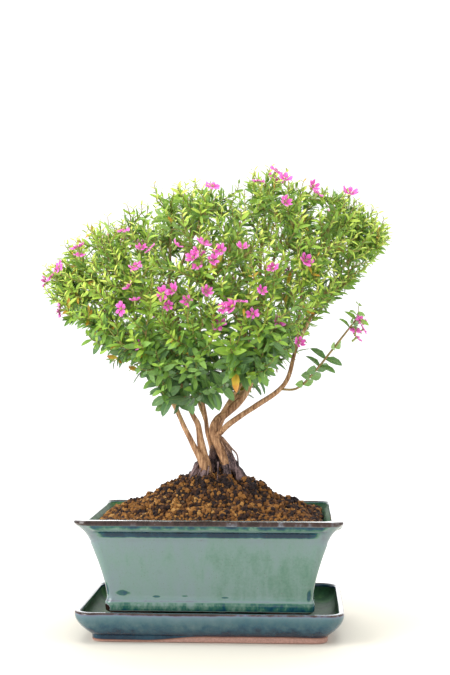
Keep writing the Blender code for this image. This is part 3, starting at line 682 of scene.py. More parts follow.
# Middle line of each stem as (x, y, z, radius) in millimetres, from inside the crown upwards.
STEM_LINES = {
    "left_outer_stem": (
        (-5, -9, 114, 3.2), (-7, -9, 126, 3.5), (-9.5, -9, 132.5, 3.0), (-12.9, -9, 138.5, 2.4),
        (-17.6, -9, 147.7, 2.0), (-22.2, -8.5, 156.6, 1.9), (-27.2, -8, 167.5, 1.7), (-36, -7, 183, 1.5),
        (-56, -6, 206, 1.4), (-78, -3, 234, 1.2), (-98, 0, 266, 0.9),
    ),
    "left_inner_stem": (
        (-3, -6, 114, 3.4), (-5, -6, 126, 3.8), (-8, -5, 136, 3.4), (-10.1, -4, 146.5, 2.8),
        (-11.1, -3, 153.6, 2.4), (-12.6, -3, 160, 2.2), (-17, -2, 168, 1.9), (-27, 2, 192, 1.7),
        (-36, 6, 228, 1.5), (-36, 10, 270, 1.2), (-35, 14, 316, 0.9),
    ),
    "middle_stem": (
        (0, 8, 126, 2.6), (-1.5, 8, 138, 2.4), (-3.4, 9, 145, 2.1), (-5.8, 11, 153, 1.8), (-8, 14, 167, 1.6),
        (-16, 24, 200, 1.4), (-30, 34, 238, 1.2), (-52, 42, 262, 0.9),
    ),
    "main_stem": (
        (12, -6, 114, 2.8), (10.5, -5.5, 127, 3.2), (8, -4, 133, 3.5), (5, -2.5, 141, 3.9),
        (1.8, -2, 148.5, 3.9), (0.2, -2, 155, 3.6), (3, 0, 162, 3.5), (9.2, 3, 167, 3.3),
        (18.2, 6, 175, 3.0), (26.3, 8, 186, 2.6), (31, 8, 202, 2.3), (34, 8, 230, 2.0),
        (36, 8, 270, 1.5), (37, 12, 300, 1.1), (40, 22, 320, 0.9),
    ),
    "back_stem": (
        (6, 8, 126, 2.8), (3, 11, 142, 2.4), (3, 14, 154, 2.1), (8, 18, 166, 1.9), (17, 23, 180, 1.8),
        (24, 30, 200, 1.7), (20, 40, 236, 1.3), (10, 52, 266, 0.9),
    ),
    "long_right_branch": (
        (3, -4, 150, 2.4), (13, -9, 160, 2.3), (32, -12, 173, 2.1), (50, -13, 185, 1.9), (59, -13, 197, 1.7),
        (66, -12, 222, 1.4), (84, -8, 256, 1.2), (106, -2, 288, 0.9),
    ),
    "side_shoot": (
        (53, -13, 187, 0.9), (66, -17, 188, 0.9), (80, -22, 202, 0.85), (96, -26, 222, 0.8),
        (110, -28, 240, 0.7),
    ),
}
# Side branches: the stem they leave, how far along it, and the leaf mass they carry.
SIDE_BRANCHES = {
    "left_front_branch": ("left_outer_stem", 0.60, "middle_leaves_6"),
    "left_low_branch": ("left_outer_stem", 0.45, "low_leaves_3"),
    "left_top_branch": ("left_inner_stem", 0.74, "top_leaves_4"),
    "left_back_branch": ("middle_stem", 0.45, "low_leaves_2"),
    "front_branch": ("main_stem", 0.56, "middle_leaves_7"),
    "front_low_branch": ("main_stem", 0.42, "low_leaves_4"),
    "top_front_branch": ("main_stem", 0.78, "top_leaves_5"),
    "top_right_branch": ("main_stem", 0.70, "top_leaves_1"),
    "right_front_branch": ("long_right_branch", 0.62, "middle_leaves_8"),
    "right_back_branch": ("back_stem", 0.52, "middle_leaves_2"),
    "back_low_branch": ("back_stem", 0.40, "low_leaves_1"),
}
STEM_SIDES, STEM_STEP = 16, 0.0016
FURROW_DEPTH, KNOT_DEPTH, KNOT_SIZE = 0.10, 0.10, 0.009
BRANCH_STEPS, BRANCH_WANDER, FINE_BRANCH = 24, 0.0014, 0.0020


def through(points, steps):
    """A smooth line in metres through points in millimetres, with steps points to each stretch."""
    points = [tuple(value / 1000 for value in point) for point in points]
    ends = [points[0], *points, points[-1]]
    line = []
    for before, start, end, after in zip(ends, ends[1:], ends[2:], ends[3:]):
        for i in range(steps):
            t = i / steps
            line.append([
                0.5 * (2 * b + (c - a) * t + (2 * a - 5 * b + 4 * c - d) * t**2
                       + (3 * b - a - 3 * c + d) * t**3)
                for a, b, c, d in zip(before, start, end, after)
            ])
    line.append(list(points[-1]))
    return [(Vector(p[:3]), p[3]) for p in line]


def evenly(line, step):
    """The same line with its points one step apart."""
    result, carried = [line[0]], 0.0
    for (a, radius_a), (b, radius_b) in zip(line, line[1:]):
        length = (b - a).length
        while length > 0 and carried + step <= length:
            carried += step
            t = carried / length
            result.append((a.lerp(b, t), radius_a + (radius_b - radius_a) * t))
        carried -= length
    return result + [line[-1]]


def add_bark(bm, line, seed, sides=STEM_SIDES, furrows=FURROW_DEPTH):
    """Adds a furrowed, knotty tube along a line of (place, radius), closed at both ends."""
    layer = bm.verts.layers.float.get("thickness") or bm.verts.layers.float.new("thickness")
    side = (line[1][0] - line[0][0]).orthogonal().normalized()
    shift = Vector((seed * 3.1, seed * 1.7, seed * 5.3))
    rings = []
    for i, (place, radius) in enumerate(line):
        ahead = (line[min(i + 1, len(line) - 1)][0] - line[max(i - 1, 0)][0]).normalized()
        side = (side - ahead * side.dot(ahead)).normalized()
        other = ahead.cross(side)
        ring = []
        for k in range(sides):
            angle = math.tau * k / sides
            out = side * math.cos(angle) + other * math.sin(angle)
            furrow = noise.noise(Vector((math.cos(angle) * 2.4, math.sin(angle) * 2.4, i * 0.07)) + shift)
            knot = noise.noise(place / KNOT_SIZE + out * 0.6 + shift)
            ring.append(bm.verts.new(place + out * radius * (1 + furrows * furrow + KNOT_DEPTH * knot)))
            ring[-1][layer] = radius
        rings.append(ring)
    for lower, upper in zip(rings, rings[1:]):
        for k in range(sides):
            after = (k + 1) % sides
            bm.faces.new((lower[k], lower[after], upper[after], upper[k]))
    bm.faces.new(reversed(rings[0]))
    bm.faces.new(rings[-1])


stem_bark, place, shader = finish("stem_bark", IOR=1.42)
furrows = place.times((1, 1, 0.16)).cloud(620, 4.0, 0.6)
patches = place.times((1, 1, 0.5)).cloud(95, 3.0)
flecks = place.cloud(1500, 3.0, 0.6)
tone = (furrows - 0.5) * 1.7 + (patches - 0.5) * 0.9 + (flecks - 0.5) * 0.4 + 0.52
colour = tone.clamped().ramp((
    (0.05, (0.055, 0.026, 0.013)), (0.32, (0.215, 0.105, 0.048)), (0.58, (0.420, 0.225, 0.110)),
    (0.82, (0.600, 0.370, 0.200)), (1.00, (0.700, 0.500, 0.320)),
))
young = 1 - place.attribute("thickness").rise(0.0009, 0.0017)
colour = (young * 0.55).tint(colour, (0.260, 0.230, 0.070))
damp = 1 - (place.axis("Z") + (patches - 0.5) * 0.020).rise(0.108, 0.126)
colour = (damp * 0.93).tint(colour, flecks.ramp(((0.35, (0.012, 0.008, 0.009)), (0.65, (0.060, 0.040, 0.038)))))
height = furrows + flecks * 0.35
lead(shader, Base_Color=colour, Roughness=0.62 + furrows * 0.25, Normal=height.bump(0.0005, 0.8))


mass_middles = {node: sum(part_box(node), Vector()) / 2 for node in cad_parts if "_leaves_" in node}


def side_branch_line(parent, share, leaves):
    """From a point on its parent, leaving along it and bending to its leaf mass."""
    index = round(share * (len(parent) - 1))
    start, radius = parent[index]
    target = mass_middles[leaves] - Vector((0, 0, 0.006))
    heading = (parent[index + 1][0] - parent[index - 1][0]).normalized()
    bend = start + heading * (target - start).length * 0.45
    line = []
    for i in range(BRANCH_STEPS + 1):
        t = i / BRANCH_STEPS
        place = start * (1 - t) ** 2 + bend * 2 * t * (1 - t) + target * t**2
        wander = noise.noise_vector(place / 0.02) * BRANCH_WANDER * math.sin(math.pi * t)
        line.append((place + wander, min(radius * 0.75, 0.0017) * (1 - t) + 0.0008 * t))
    return line


stem_lines = {name: through(points, 8) for name, points in STEM_LINES.items()}
for name, (parent, share, leaves) in SIDE_BRANCHES.items():
    stem_lines[name] = side_branch_line(stem_lines[parent], share, leaves)

for seed, (name, line) in enumerate(stem_lines.items()):
    bm = bmesh.new()
    add_bark(bm, evenly(line, STEM_STEP), seed, 10 if line[0][1] < FINE_BRANCH else STEM_SIDES)
    piece = new_piece(mesh_from("bark_" + name, bm, 70), stem_bark)
    settle(piece, "shoot_bark" if name == "side_shoot" else "stem_bark", name)


# ----------------------------------------------------------------------
# Root crown. The stems stand on a dark, gnarled knot of surface roots, partly hollow on its left
# side, with thin roots that reach down over it into the soil. Damp humus stains it almost black,
# and the worn backs of the thicker roots are a dull pinkish grey.

CROWN_VOXEL, CROWN_CORE, CROWN_MIDDLE = 0.0009, 0.0095, (0.004, 0.006, 0.118)
GNARL_SIZE, GNARL_HEIGHT, RIDGE_SIZE, RIDGE_HEIGHT = 0.0045, 0.0009, 0.0022, 0.0006
# Each root as (x, y, z, radius) in millimetres, from under the stems down into the mound.
ROOT_LINES = (
    ((-9, -5, 133, 2.4), (-13, -7, 124, 3.0), (-17, -9, 114, 3.4), (-20, -12, 104, 2.6)),
    ((-6, -6, 128, 3.0), (-7, -11, 120, 3.4), (-8, -15, 112, 3.4), (-9, -19, 103, 2.6)),
    ((-7, 0, 132, 2.6), (-14, 1, 122, 3.4), (-19, 2, 112, 3.4), (-23, 3, 104, 2.4)),
    ((-0.5, 3, 142, 2.4), (-1, 4, 134, 3.4), (-1, 4, 124, 4.6), (-1, 3, 112, 5.0)),
    (
        (5, 0, 149, 2.0), (9.5, -1, 142, 2.6), (13.5, -3, 134, 2.8), (17, -5, 126, 3.2), (21, -7, 117, 3.6),
        (24, -9, 105, 2.6),
    ),
    ((6, 1, 140, 2.6), (13, 1, 131, 3.2), (19, 1, 123, 3.8), (25, 2, 113, 4.2), (29, 3, 104, 2.8)),
    ((5, 3, 140, 2.8), (11, 7, 130, 3.6), (17, 11, 120, 4.0), (24, 15, 107, 2.8)),
    ((0, 4, 138, 2.6), (-3, 10, 128, 3.6), (-7, 15, 117, 3.6), (-11, 20, 104, 2.6)),
    ((3, 6, 136, 2.8), (4, 12, 126, 3.8), (6, 17, 116, 3.8), (9, 21, 104, 2.6)),
    ((10, -5, 128, 3.0), (11, -10, 120, 3.4), (12, -15, 112, 3.4), (14, -20, 103, 2.4)),
    ((-9, 4, 128, 2.6), (-14, 9, 118, 3.2), (-18, 13, 106, 2.4)),
)
# Thin roots that hang clear of the crown.
THREAD_ROOTS = (
    ((8, -4, 148, 0.7), (14, -6, 141, 0.7), (18.5, -7, 136, 0.6), (19.5, -7, 130, 0.6), (20, -6, 120, 0.5)),
    ((10, -6, 143, 0.6), (14, -8, 138, 0.6), (17, -9, 131, 0.5), (18.5, -10, 124, 0.5), (19, -11, 114, 0.5)),
    ((6, -5, 146, 0.6), (11, -8, 137, 0.6), (13, -10, 129, 0.5), (14, -12, 120, 0.5)),
    ((-11, -9, 129, 0.7), (-16, -12, 121, 0.6), (-20, -14, 112, 0.6)),
    ((-9, -11, 126, 0.6), (-12, -15, 118, 0.5), (-14, -17, 110, 0.5)),
    ((-3, -11, 127, 0.7), (-4, -15, 119, 0.6), (-5, -18, 110, 0.5)),
    ((4, -8, 130, 0.6), (4, -13, 122, 0.5), (4, -17, 113, 0.5)),
)

bm = bmesh.new()
for seed, points in enumerate(ROOT_LINES):
    add_bark(bm, evenly(through(points, 6), 0.002), seed + 30, sides=12, furrows=0.16)
bmesh.ops.create_icosphere(bm, subdivisions=3, radius=CROWN_CORE, matrix=Matrix.Translation(CROWN_MIDDLE))
crown = new_piece(mesh_from("root_crown_knot", bm))
fuse = crown.modifiers.new("fuse", "REMESH")
fuse.mode, fuse.voxel_size = "VOXEL", CROWN_VOXEL
soften = crown.modifiers.new("soften", "SMOOTH")
soften.factor, soften.iterations = 0.5, 3
mesh = as_made(crown)
bpy.data.objects.remove(crown)
bm = bmesh.new()
bm.from_mesh(mesh)
bm.normal_update()
for vert in bm.verts:
    gnarl = noise.fractal(vert.co / GNARL_SIZE, 1.0, 2.0, 3) * GNARL_HEIGHT
    ridge = noise.noise(Vector((vert.co.x, vert.co.y, vert.co.z * 0.25)) / RIDGE_SIZE) * RIDGE_HEIGHT
    vert.co += vert.normal * (gnarl + ridge)
for seed, points in enumerate(THREAD_ROOTS):
    add_bark(bm, evenly(through(points, 6), 0.0012), seed + 50, sides=7)

root_bark, place, shader = finish("root_bark", IOR=1.42)
ridges = place.times((1, 1, 0.3)).cloud(420, 4.0, 0.65)
patches = place.cloud(110, 3.0)
flecks = place.cloud(1300, 3.0, 0.6)
worn = (ridges * 0.6 + patches * 0.6 + (flecks - 0.5) * 0.5).rise(0.46, 0.74)
colour = worn.tint((0.016, 0.010, 0.013), (0.230, 0.150, 0.145))
tan = (place.axis("Z") + (patches - 0.5) * 0.024).rise(0.130, 0.146)
colour = (tan * 0.9).tint(colour, ridges.ramp(((0.3, (0.100, 0.052, 0.032)), (0.65, (0.360, 0.210, 0.125)))))
height = ridges + flecks * 0.4
lead(shader, Base_Color=colour, Roughness=0.68 + flecks * 0.25, Normal=height.bump(0.0009, 0.9))
settle(new_piece(mesh_from("root_crown_knot", bm, 60), root_bark), "root_bark", "root_crown")


# ----------------------------------------------------------------------
# Leafy shoots. Thin shoots fan out from every branch. Each carries opposite pairs of small
# pointed leaves, every pair turned from the one below it, which are fresh yellow-green at the
# tip and darker and larger further down. The leaves low on the tree are broad and glossy.
# Leaves deep inside the fan are coloured darker still, as painted shade.

# The fan's outline from the front in millimetres: (x, lowest z, highest z).
FAN = (
    (-134, 262, 279), (-122, 243, 292), (-110, 232, 306), (-90, 215, 314), (-74, 194, 321), (-58, 185, 333),
    (-42, 168, 344), (-20, 168, 350), (0, 182, 351), (22, 182, 355), (40, 186, 359), (48, 194, 361),
    (60, 205, 357), (70, 218, 350), (82, 240, 345), (99, 256, 344), (111, 266, 340), (124, 279, 330),
    (138, 298, 320),
)
FAN_ROOT = Vector((0.004, 0.0, 0.135))
FAN_MIDDLE, FAN_HALF_WIDTH, FAN_RISE, FAN_FALL, FAN_HALF_DEPTH = (0.004, 0.285), 0.138, 0.086, 0.115, 0.083
# Each round of shoots branches off the wood and the shoots before it. The tips keep a gap, which
# shrinks as the fan fills up.
SHOOT_COUNTS, SHOOT_GAP, SHOOT_STEP = (150, 380, 590), 0.0082, 0.003
BRANCHES_FROM, STARTS_TRIED = 0.165, 90
LEAF_SPACING, LEAFY_LENGTH = 0.0037, 0.050
LEAF_SECTIONS = (0.0, 0.12, 0.40, 0.70, 0.89, 1.0)


def fan_depth(x, z):
    """Half the fan's depth from front to back at a place in its outline."""
    middle_x, middle_z = FAN_MIDDLE
    reach_z = FAN_RISE if z > middle_z else FAN_FALL
    away = ((x - middle_x - 0.12 * (z - middle_z)) / FAN_HALF_WIDTH) ** 2 + ((z - middle_z) / reach_z) ** 2
    return FAN_HALF_DEPTH * math.sqrt(max(1 - away, 0.02))


def shoot_tips(rng):
    """Where the shoots end: spread over the fan's skin, with some inside it."""
    tips, wanted = [], sum(SHOOT_COUNTS)
    gap = SHOOT_GAP
    while True:
        for _ in range(400):
            x = rng.uniform(-0.133, 0.137)
            low, high = (value / 1000 for value in read_table(FAN, x * 1000))
            high += 0.0045 * noise.noise(Vector((x * 75, 0.5, 0.5)))
            z = rng.uniform(low + 0.008, high - 0.002)
            if rng.random() > min(0.34 + (z - 0.185) / 0.080, 0.22 + 5 * max(x, 0) + (z - low) / 0.045):
                continue
            at_skin = rng.random() < (0.72 if high - z > 0.035 else 0.25)
            share = rng.choice((-1, 1)) * (rng.uniform(0.80, 1.0) if at_skin else rng.uniform(0, 0.8))
            tip = Vector((x, share * fan_depth(x, z), z))
            if all((tip - other).length > gap for other in tips):
                tips.append(tip)
                if len(tips) == wanted:
                    return tips
        gap *= 0.94


branch_points = []
for name, line in stem_lines.items():
    if name == "side_shoot":
        continue
    for i in range(2, len(line), 2):
        if line[i][0].z > BRANCHES_FROM:
            branch_points.append((line[i][0], (line[i][0] - line[i - 1][0]).normalized()))


def shoot_line(tip, starts, finder):
    """A shoot from the best place below the tip on the wood so far, bending out and up to it."""
    def cost(choice):
        way = tip - choice[0]
        climb = way.normalized().dot((tip - FAN_ROOT).normalized())
        return way.length * (1.8 - climb) + (0.03 if way.length < 0.020 else 0)

    start, heading = min((starts[index] for _, index, _ in finder.find_n(tip, STARTS_TRIED)), key=cost)
    reach = (tip - start).length
    out = (tip - FAN_ROOT).normalized()
    leave = (heading * 0.7 + out * 0.6 + noise.noise_vector(tip * 90) * 0.35) * reach
    arrive = (out * 0.8 + Vector((0, 0, 0.35)) + noise.noise_vector(tip * 70) * 0.45) * reach
    count = max(8, round(reach / SHOOT_STEP))
    line = []
    for i in range(count + 1):
        t = i / count
        a, b = 2 * t**3 - 3 * t**2 + 1, t**3 - 2 * t**2 + t
        c, d = -2 * t**3 + 3 * t**2, t**3 - t**2
        line.append(start * a + leave * b + tip * c + arrive * d)
    return line


def shoot_record(line, rng, leaf_size=None, kind=None, leafy=LEAFY_LENGTH):
    """A shoot with the facts that its leaves need."""
    lengths = [0.0]
    for a, b in zip(line, line[1:]):
        lengths.append(lengths[-1] + (b - a).length)
    whole, tip = lengths[-1], line[-1]
    low = max(0, min(1, (0.262 - tip.z) / 0.070))
    inner = 1 - min(1, abs(tip.y) / fan_depth(tip.x, tip.z))
    size = leaf_size or (0.0090 + 0.0068 * low + 0.0018 * rng.uniform(-1, 1) + 0.001 * inner)
    kind = kind if kind is not None else min(2, int(low * 2.0 + rng.uniform(0, 0.75)))
    # Leaves deep inside the fan (inner) get a lower youth, so a darker colour: painted shade.
    youth = 0.98 - 0.90 * low - 0.25 * inner + rng.uniform(-0.22, 0.18)
    return {
        "line": line, "from_tip": [whole - length for length in lengths], "leafy": min(leafy, whole * 0.9),
        "size": size, "kind": kind, "youth": youth, "bare": 0.07, "tip": tip,
    }


def shoots_mesh(shoots):
    """The shoots' middle lines as loose edges, with their facts as attributes."""
    places, edges = [], []
    facts = {key: [] for key in ("twig_radius", "from_tip", "leafy", "size", "kind", "youth", "bare")}
    headings = []
    for shoot in shoots:
        line = shoot["line"]
        edges += [(len(places) + i, len(places) + i + 1) for i in range(len(line) - 1)]
        for i, place in enumerate(line):
            places.append(place)
            headings.extend((line[min(i + 1, len(line) - 1)] - line[max(i - 1, 0)]).normalized())
            facts["from_tip"].append(shoot["from_tip"][i])
            facts["twig_radius"].append(0.00028 + min(shoot["from_tip"][i] * 0.0085, 0.00052))
            for key in ("leafy", "size", "kind", "youth", "bare"):
                facts[key].append(shoot[key])
    mesh = bpy.data.meshes.new("shoot_lines")
    mesh.from_pydata(places, edges, [])
    for key, values in facts.items():
        mesh.attributes.new(key, "FLOAT", "POINT").data.foreach_set("value", values)
    mesh.attributes.new("heading", "FLOAT_VECTOR", "POINT").data.foreach_set("vector", headings)
    return mesh


def leaf_pair(name, breadth, splay, droop, twist, roll):
    """Two opposite leaves one unit long, thin and closed, folded a little along the midrib."""
    bm = bmesh.new()
    under = bm.verts.layers.float.new("underside")
    flat = bm.loops.layers.uv.new("leaf_map")
    for side in (1, -1):
        rings, place, last = [], Vector((0, 0, 0)), 0.0
        along = {}
        for t in LEAF_SECTIONS:
            angle = math.radians(splay + droop * t + (8 if side < 0 else 0))
            ahead = Vector((side * math.sin(angle), 0, math.cos(angle)))
            top = Vector((-side * math.cos(angle), 0, math.sin(angle)))
            place = place + ahead * (t - last)
            last = t
            half = breadth / 2 * (0.10 if t == 0 else math.sin(math.pi * t**0.9) ** 0.75)
            turn = Matrix.Rotation(math.radians(side * roll + twist * t), 3, ahead)
            across, lift = turn @ Vector((0, 1, 0)), turn @ top
            if t == 1.0:
                tip = bm.verts.new(place)
                along[tip] = (0.5, 1.0)
                break
            left = bm.verts.new(place - across * half + lift * half * 0.30)
            upper = bm.verts.new(place + lift * 0.006)
            right = bm.verts.new(place + across * half + lift * half * 0.30)
            lower = bm.verts.new(place - lift * (0.014 + half * 0.05))
            lower[under] = 1.0
            along.update({left: (0.0, t), upper: (0.5, t), right: (1.0, t), lower: (0.5, t)})
            rings.append((left, upper, right, lower))
        faces = [bm.faces.new(rings[0])]
        for first, second in zip(rings, rings[1:]):
            for k in range(4):
                faces.append(bm.faces.new((first[k], first[(k + 1) % 4], second[(k + 1) % 4], second[k])))
        for k in range(4):
            faces.append(bm.faces.new((rings[-1][k], rings[-1][(k + 1) % 4], tip)))
        for face in faces:
            for loop in face.loops:
                loop[flat].uv = along[loop.vert]
    bmesh.ops.recalc_face_normals(bm, faces=bm.faces)
    return mesh_from(name, bm, 60)


shoot_bark, place, shader = finish("shoot_bark", IOR=1.42)
streaks = place.cloud(700, 3.0)
colour = streaks.ramp((
    (0.3, (0.200, 0.105, 0.045)), (0.5, (0.300, 0.240, 0.070)), (0.7, (0.400, 0.420, 0.120)),
))
lead(shader, Base_Color=colour, Roughness=0.5 + streaks * 0.2, Normal=streaks.bump(0.0002, 0.6))

leaf_skin, place, shader = finish("leaf_skin", IOR=1.45)
flat = place.node("ShaderNodeUVMap", {"uv_map": "leaf_map"})
across, along = flat.axis("X"), flat.axis("Y")
off_rib = across.maths("ABSOLUTE", across - 0.5)
youth = place.attribute("leaf_youth")
tone = place.attribute("leaf_tone")
blotch = place.cloud(260, 3.0)
grain = place.cloud(2200, 3.0)
age_and_shade = youth + (tone - 0.5) * 0.35 + (blotch - 0.5) * 0.20
colour = age_and_shade.clamped().ramp((
    (0.0, (0.092, 0.195, 0.068)), (0.25, (0.175, 0.350, 0.058)), (0.50, (0.300, 0.510, 0.055)),
    (0.75, (0.490, 0.680, 0.075)), (1.0, (0.680, 0.790, 0.145)),
))
veins = (along * 9.0 - off_rib * 7.0) * 6.28
veins = veins.maths("SINE", veins)
rib = 1 - off_rib.rise(0.02, 0.07)
colour = (rib * 0.25 + veins.rise(0.80, 1.0) * 0.06).clamped().tint(colour, (0.380, 0.480, 0.140))
colour = (place.attribute("underside") * 0.5).tint(colour, (0.300, 0.400, 0.180))
turned = tone.rise(0.982, 0.985)
autumn = (along + blotch - 0.5).ramp(((0.2, (0.66, 0.47, 0.045)), (0.9, (0.62, 0.21, 0.03))))
colour = (turned * 0.85).tint(colour, autumn)
edge_burn = off_rib.rise(0.44, 0.50) * 0.25
colour = edge_burn.tint(colour, (0.200, 0.120, 0.030))
skin = grain * 0.4 + veins * 0.10 - rib * 0.8
lead(shader, Base_Color=colour, Roughness=0.30 + blotch * 0.14 + youth * 0.12, Normal=skin.bump(0.0003, 0.6))

leafing, given = node_tree("leafy_shoots", {
    "Geometry": "Geometry", "Narrow leaves": "Object", "Middling leaves": "Object",
    "Broad leaves": "Object", "Leaf spacing": "Float", "Seed": "Int", "Twig material": "Material",
    "Leaf material": "Material",
})
lines = given["Geometry"]


def fact(name, kind="FLOAT"):
    return lines.node("GeometryNodeInputNamedAttribute", {"data_type": kind}, {"Name": name})


curves = lines.node("GeometryNodeMeshToCurve", (), {"Mesh": lines})
profile = lines.node("GeometryNodeCurvePrimitiveCircle", {"mode": "RADIUS"}, {"Resolution": 5, "Radius": 1.0})
twigs = lines.node("GeometryNodeCurveToMesh", (), {
    "Curve": curves, "Profile Curve": profile, "Scale": fact("twig_radius"), "Fill Caps": True,
})
twigs = lines.node("GeometryNodeSetMaterial", (), {"Geometry": twigs, "Material": given["Twig material"]})
joints = lines.node("GeometryNodeResampleCurve", {"mode": "LENGTH"}, {
    "Curve": curves, "Length": given["Leaf spacing"],
})
order = lines.node("GeometryNodeInputIndex")
alternate = order.maths("MODULO", order, 2.0) * math.radians(78)
spin = alternate + random_value(lines, -0.5, 0.5, given["Seed"])
axis_spin = lines.node("FunctionNodeAxisAngleToRotation", (), {"Axis": (0, 0, 1), "Angle": spin})
heading = fact("heading", "FLOAT_VECTOR")
upright = lines.node("FunctionNodeAlignRotationToVector", {"axis": "Z"}, {"Vector": heading})
wobble = lines.node("FunctionNodeRandomValue", {"data_type": "FLOAT_VECTOR"}, {
    0: (-0.22, -0.22, 0), 1: (0.22, 0.22, 0), 8: given["Seed"] + 7,
})
facing = lines.node("FunctionNodeRotateRotation", {"rotation_space": "LOCAL"}, {0: upright, 1: axis_spin})
facing = lines.node("FunctionNodeRotateRotation", {"rotation_space": "LOCAL"}, {
    0: facing, 1: lines.node("FunctionNodeEulerToRotation", (), {0: wobble}),
})
from_tip = fact("from_tip")
growth = 0.55 + from_tip.rise(0.0, 0.014) * 0.45
leaf_scale = fact("size") * growth * random_value(lines, 0.78, 1.18, given["Seed"] + 1)
leafy = from_tip.maths("LESS_THAN", from_tip, fact("leafy"))
kept = lines.maths("GREATER_THAN", random_value(lines, 0.0, 1.0, given["Seed"] + 2), fact("bare"))
clusters = []
for number, label in enumerate(("Narrow leaves", "Middling leaves", "Broad leaves")):
    this = fact("kind") - number
    this = this.maths("LESS_THAN", this.maths("ABSOLUTE", this), 0.5)
    shape = lines.node("GeometryNodeObjectInfo", (), {"Object": given[label]}, "Geometry")
    clusters.append(lines.node("GeometryNodeInstanceOnPoints", (), {
        "Points": joints, "Selection": leafy * kept * this, "Instance": shape, "Rotation": facing,
        "Scale": leaf_scale,
    }))
leaves = lines.node("GeometryNodeJoinGeometry", (), {0: clusters})
youngness_and_shade = fact("youth") * 0.42 + (1 - from_tip.rise(0.001, 0.016)) * (fact("youth") * 0.38 + 0.22) - 0.02
for name, value in (("leaf_youth", youngness_and_shade), ("leaf_tone", random_value(lines, 0.0, 1.0, given["Seed"] + 3))):
    leaves = lines.node("GeometryNodeStoreNamedAttribute", {"data_type": "FLOAT", "domain": "INSTANCE"}, {
        "Geometry": leaves, "Name": name, "Value": value,
    })
leaves = lines.node("GeometryNodeSetMaterial", (), {"Geometry": leaves, "Material": given["Leaf material"]})
both = lines.node("GeometryNodeJoinGeometry", (), {0: [twigs, leaves]})
end_tree(leafing, lines.node("GeometryNodeRealizeInstances", (), {0: both}))

rng = random.Random(21)
tips = shoot_tips(rng)
shoots = []
for count in SHOOT_COUNTS:
    finder = kdtree.KDTree(len(branch_points))
    for index, (place, _) in enumerate(branch_points):
        finder.insert(place, index)
    finder.balance()
    lines = [shoot_line(tips.pop(), branch_points, finder) for _ in range(count)]
    shoots += [shoot_record(line, rng) for line in lines]
    for line in lines:
        for i in range(2, len(line) * 7 // 10, 2):
            branch_points.append((line[i], (line[i] - line[i - 1]).normalized()))
side_line = [place for place, _ in evenly(stem_lines["side_shoot"], SHOOT_STEP)]
side_line += [Vector((0.112, -0.028, 0.246)), Vector((0.1125, -0.0275, 0.251))]
sprig = shoot_record(side_line, rng, leaf_size=0.0150, kind=2, leafy=0.078)
sprig["youth"], sprig["bare"] = 0.48, 0.42
shoots.append(sprig)

# Each kind's breadth as a share of its length, then its splay, droop, twist and roll in degrees.
pairs = [new_piece(leaf_pair(name, *shape)) for name, shape in (
    ("narrow_leaves", (0.29, 38, 18, 10, 16)), ("middling_leaves", (0.36, 46, 26, -14, 28)),
    ("broad_leaves", (0.45, 58, 34, 12, 42)),
)]
by_mass = {node: [] for node in mass_middles}
for shoot in shoots:
    line = shoot["line"]
    middle = line[round(0.75 * (len(line) - 1))]
    by_mass[min(mass_middles, key=lambda node: (mass_middles[node] - middle).length)].append(shoot)
for seed, (node, members) in enumerate(by_mass.items()):
    holder = new_piece(shoots_mesh(members))
    mesh = grown(holder, leafing, {
        "Narrow leaves": pairs[0], "Middling leaves": pairs[1], "Broad leaves": pairs[2],
        "Leaf spacing": LEAF_SPACING, "Seed": seed * 10, "Twig material": shoot_bark,
        "Leaf material": leaf_skin,
    }, node.replace("leaves", "shoots"))
    bpy.data.objects.remove(holder)
    settle(new_piece(mesh), "leaf", node)
for pair in pairs:
    bpy.data.objects.remove(pair)


# ----------------------------------------------------------------------
# Flowers. Each is a ribbed green tube that opens into six thin, crinkled magenta petals on
# narrow claws, round a few pale stamens. They stand out of the leaf pairs near the shoots' tips.

PETALS, PETAL_LENGTH, PETAL_WIDTH = 6, 0.0060, 0.0041
PETAL_THICKNESS, PETAL_STEPS = 0.00012, 6
CALYX_RADIUS, CALYX_SIDES = 0.0011, 12
# The calyx from its mouth down to its foot, as (height, share of its radius).
CALYX_RINGS = (
    (0.0004, 1.10), (-0.0004, 1.25), (-0.0014, 1.0), (-0.0040, 0.85), (-0.0056, 1.05), (-0.0065, 0.55),
)
STAMENS, STAMEN_SIZES = 5, {"radius1": 0.00014, "radius2": 0.00026, "depth": 0.0018}
SMALLEST_FLOWER, LARGEST_FLOWER = 0.62, 0.92
# Flower middles in millimetres. Those of the first list have a CAD node each, in the same order.
NAMED_FLOWERS = (
    (-100, -48, 295), (-116, -37, 281), (-132, -6, 271), (-49, -71, 293), (-10, -78, 285), (10, -78, 290),
    (-58, -68, 264), (-65, -63, 248), (-117, -29, 248), (-53, -56, 221), (-1, -76, 260), (12, -74, 248),
    (50, -46, 352), (81, -51, 334), (48, -75, 277), (72, -68, 283), (40, -73, 261), (52, -63, 238),
)
FRONT_FLOWERS = (
    (-98, -51, 289), (-123, -29, 274), (-63, -64, 306), (3, -62, 339), (-42, -73, 292), (-7, -78, 279),
    (-3, -77, 295), (-22, -76, 294), (4, -78, 283), (-53, -71, 279), (-25, -74, 261), (-54, -68, 254),
    (-15, -74, 253), (-29, -72, 250), (-33, -73, 259), (8, -69, 237), (37, -56, 343), (57, -52, 345),
    (57, -63, 327), (26, -77, 292), (24, -73, 253), (33, -70, 244), (67, -50, 223), (114, -29, 240),
    (110, -30, 232), (116, -26, 233), (111, -25, 227), (-6, -77, 289), (18, -74, 249),
)
# How many more stand at the sides, the top and the back.
OTHER_FLOWERS = 34


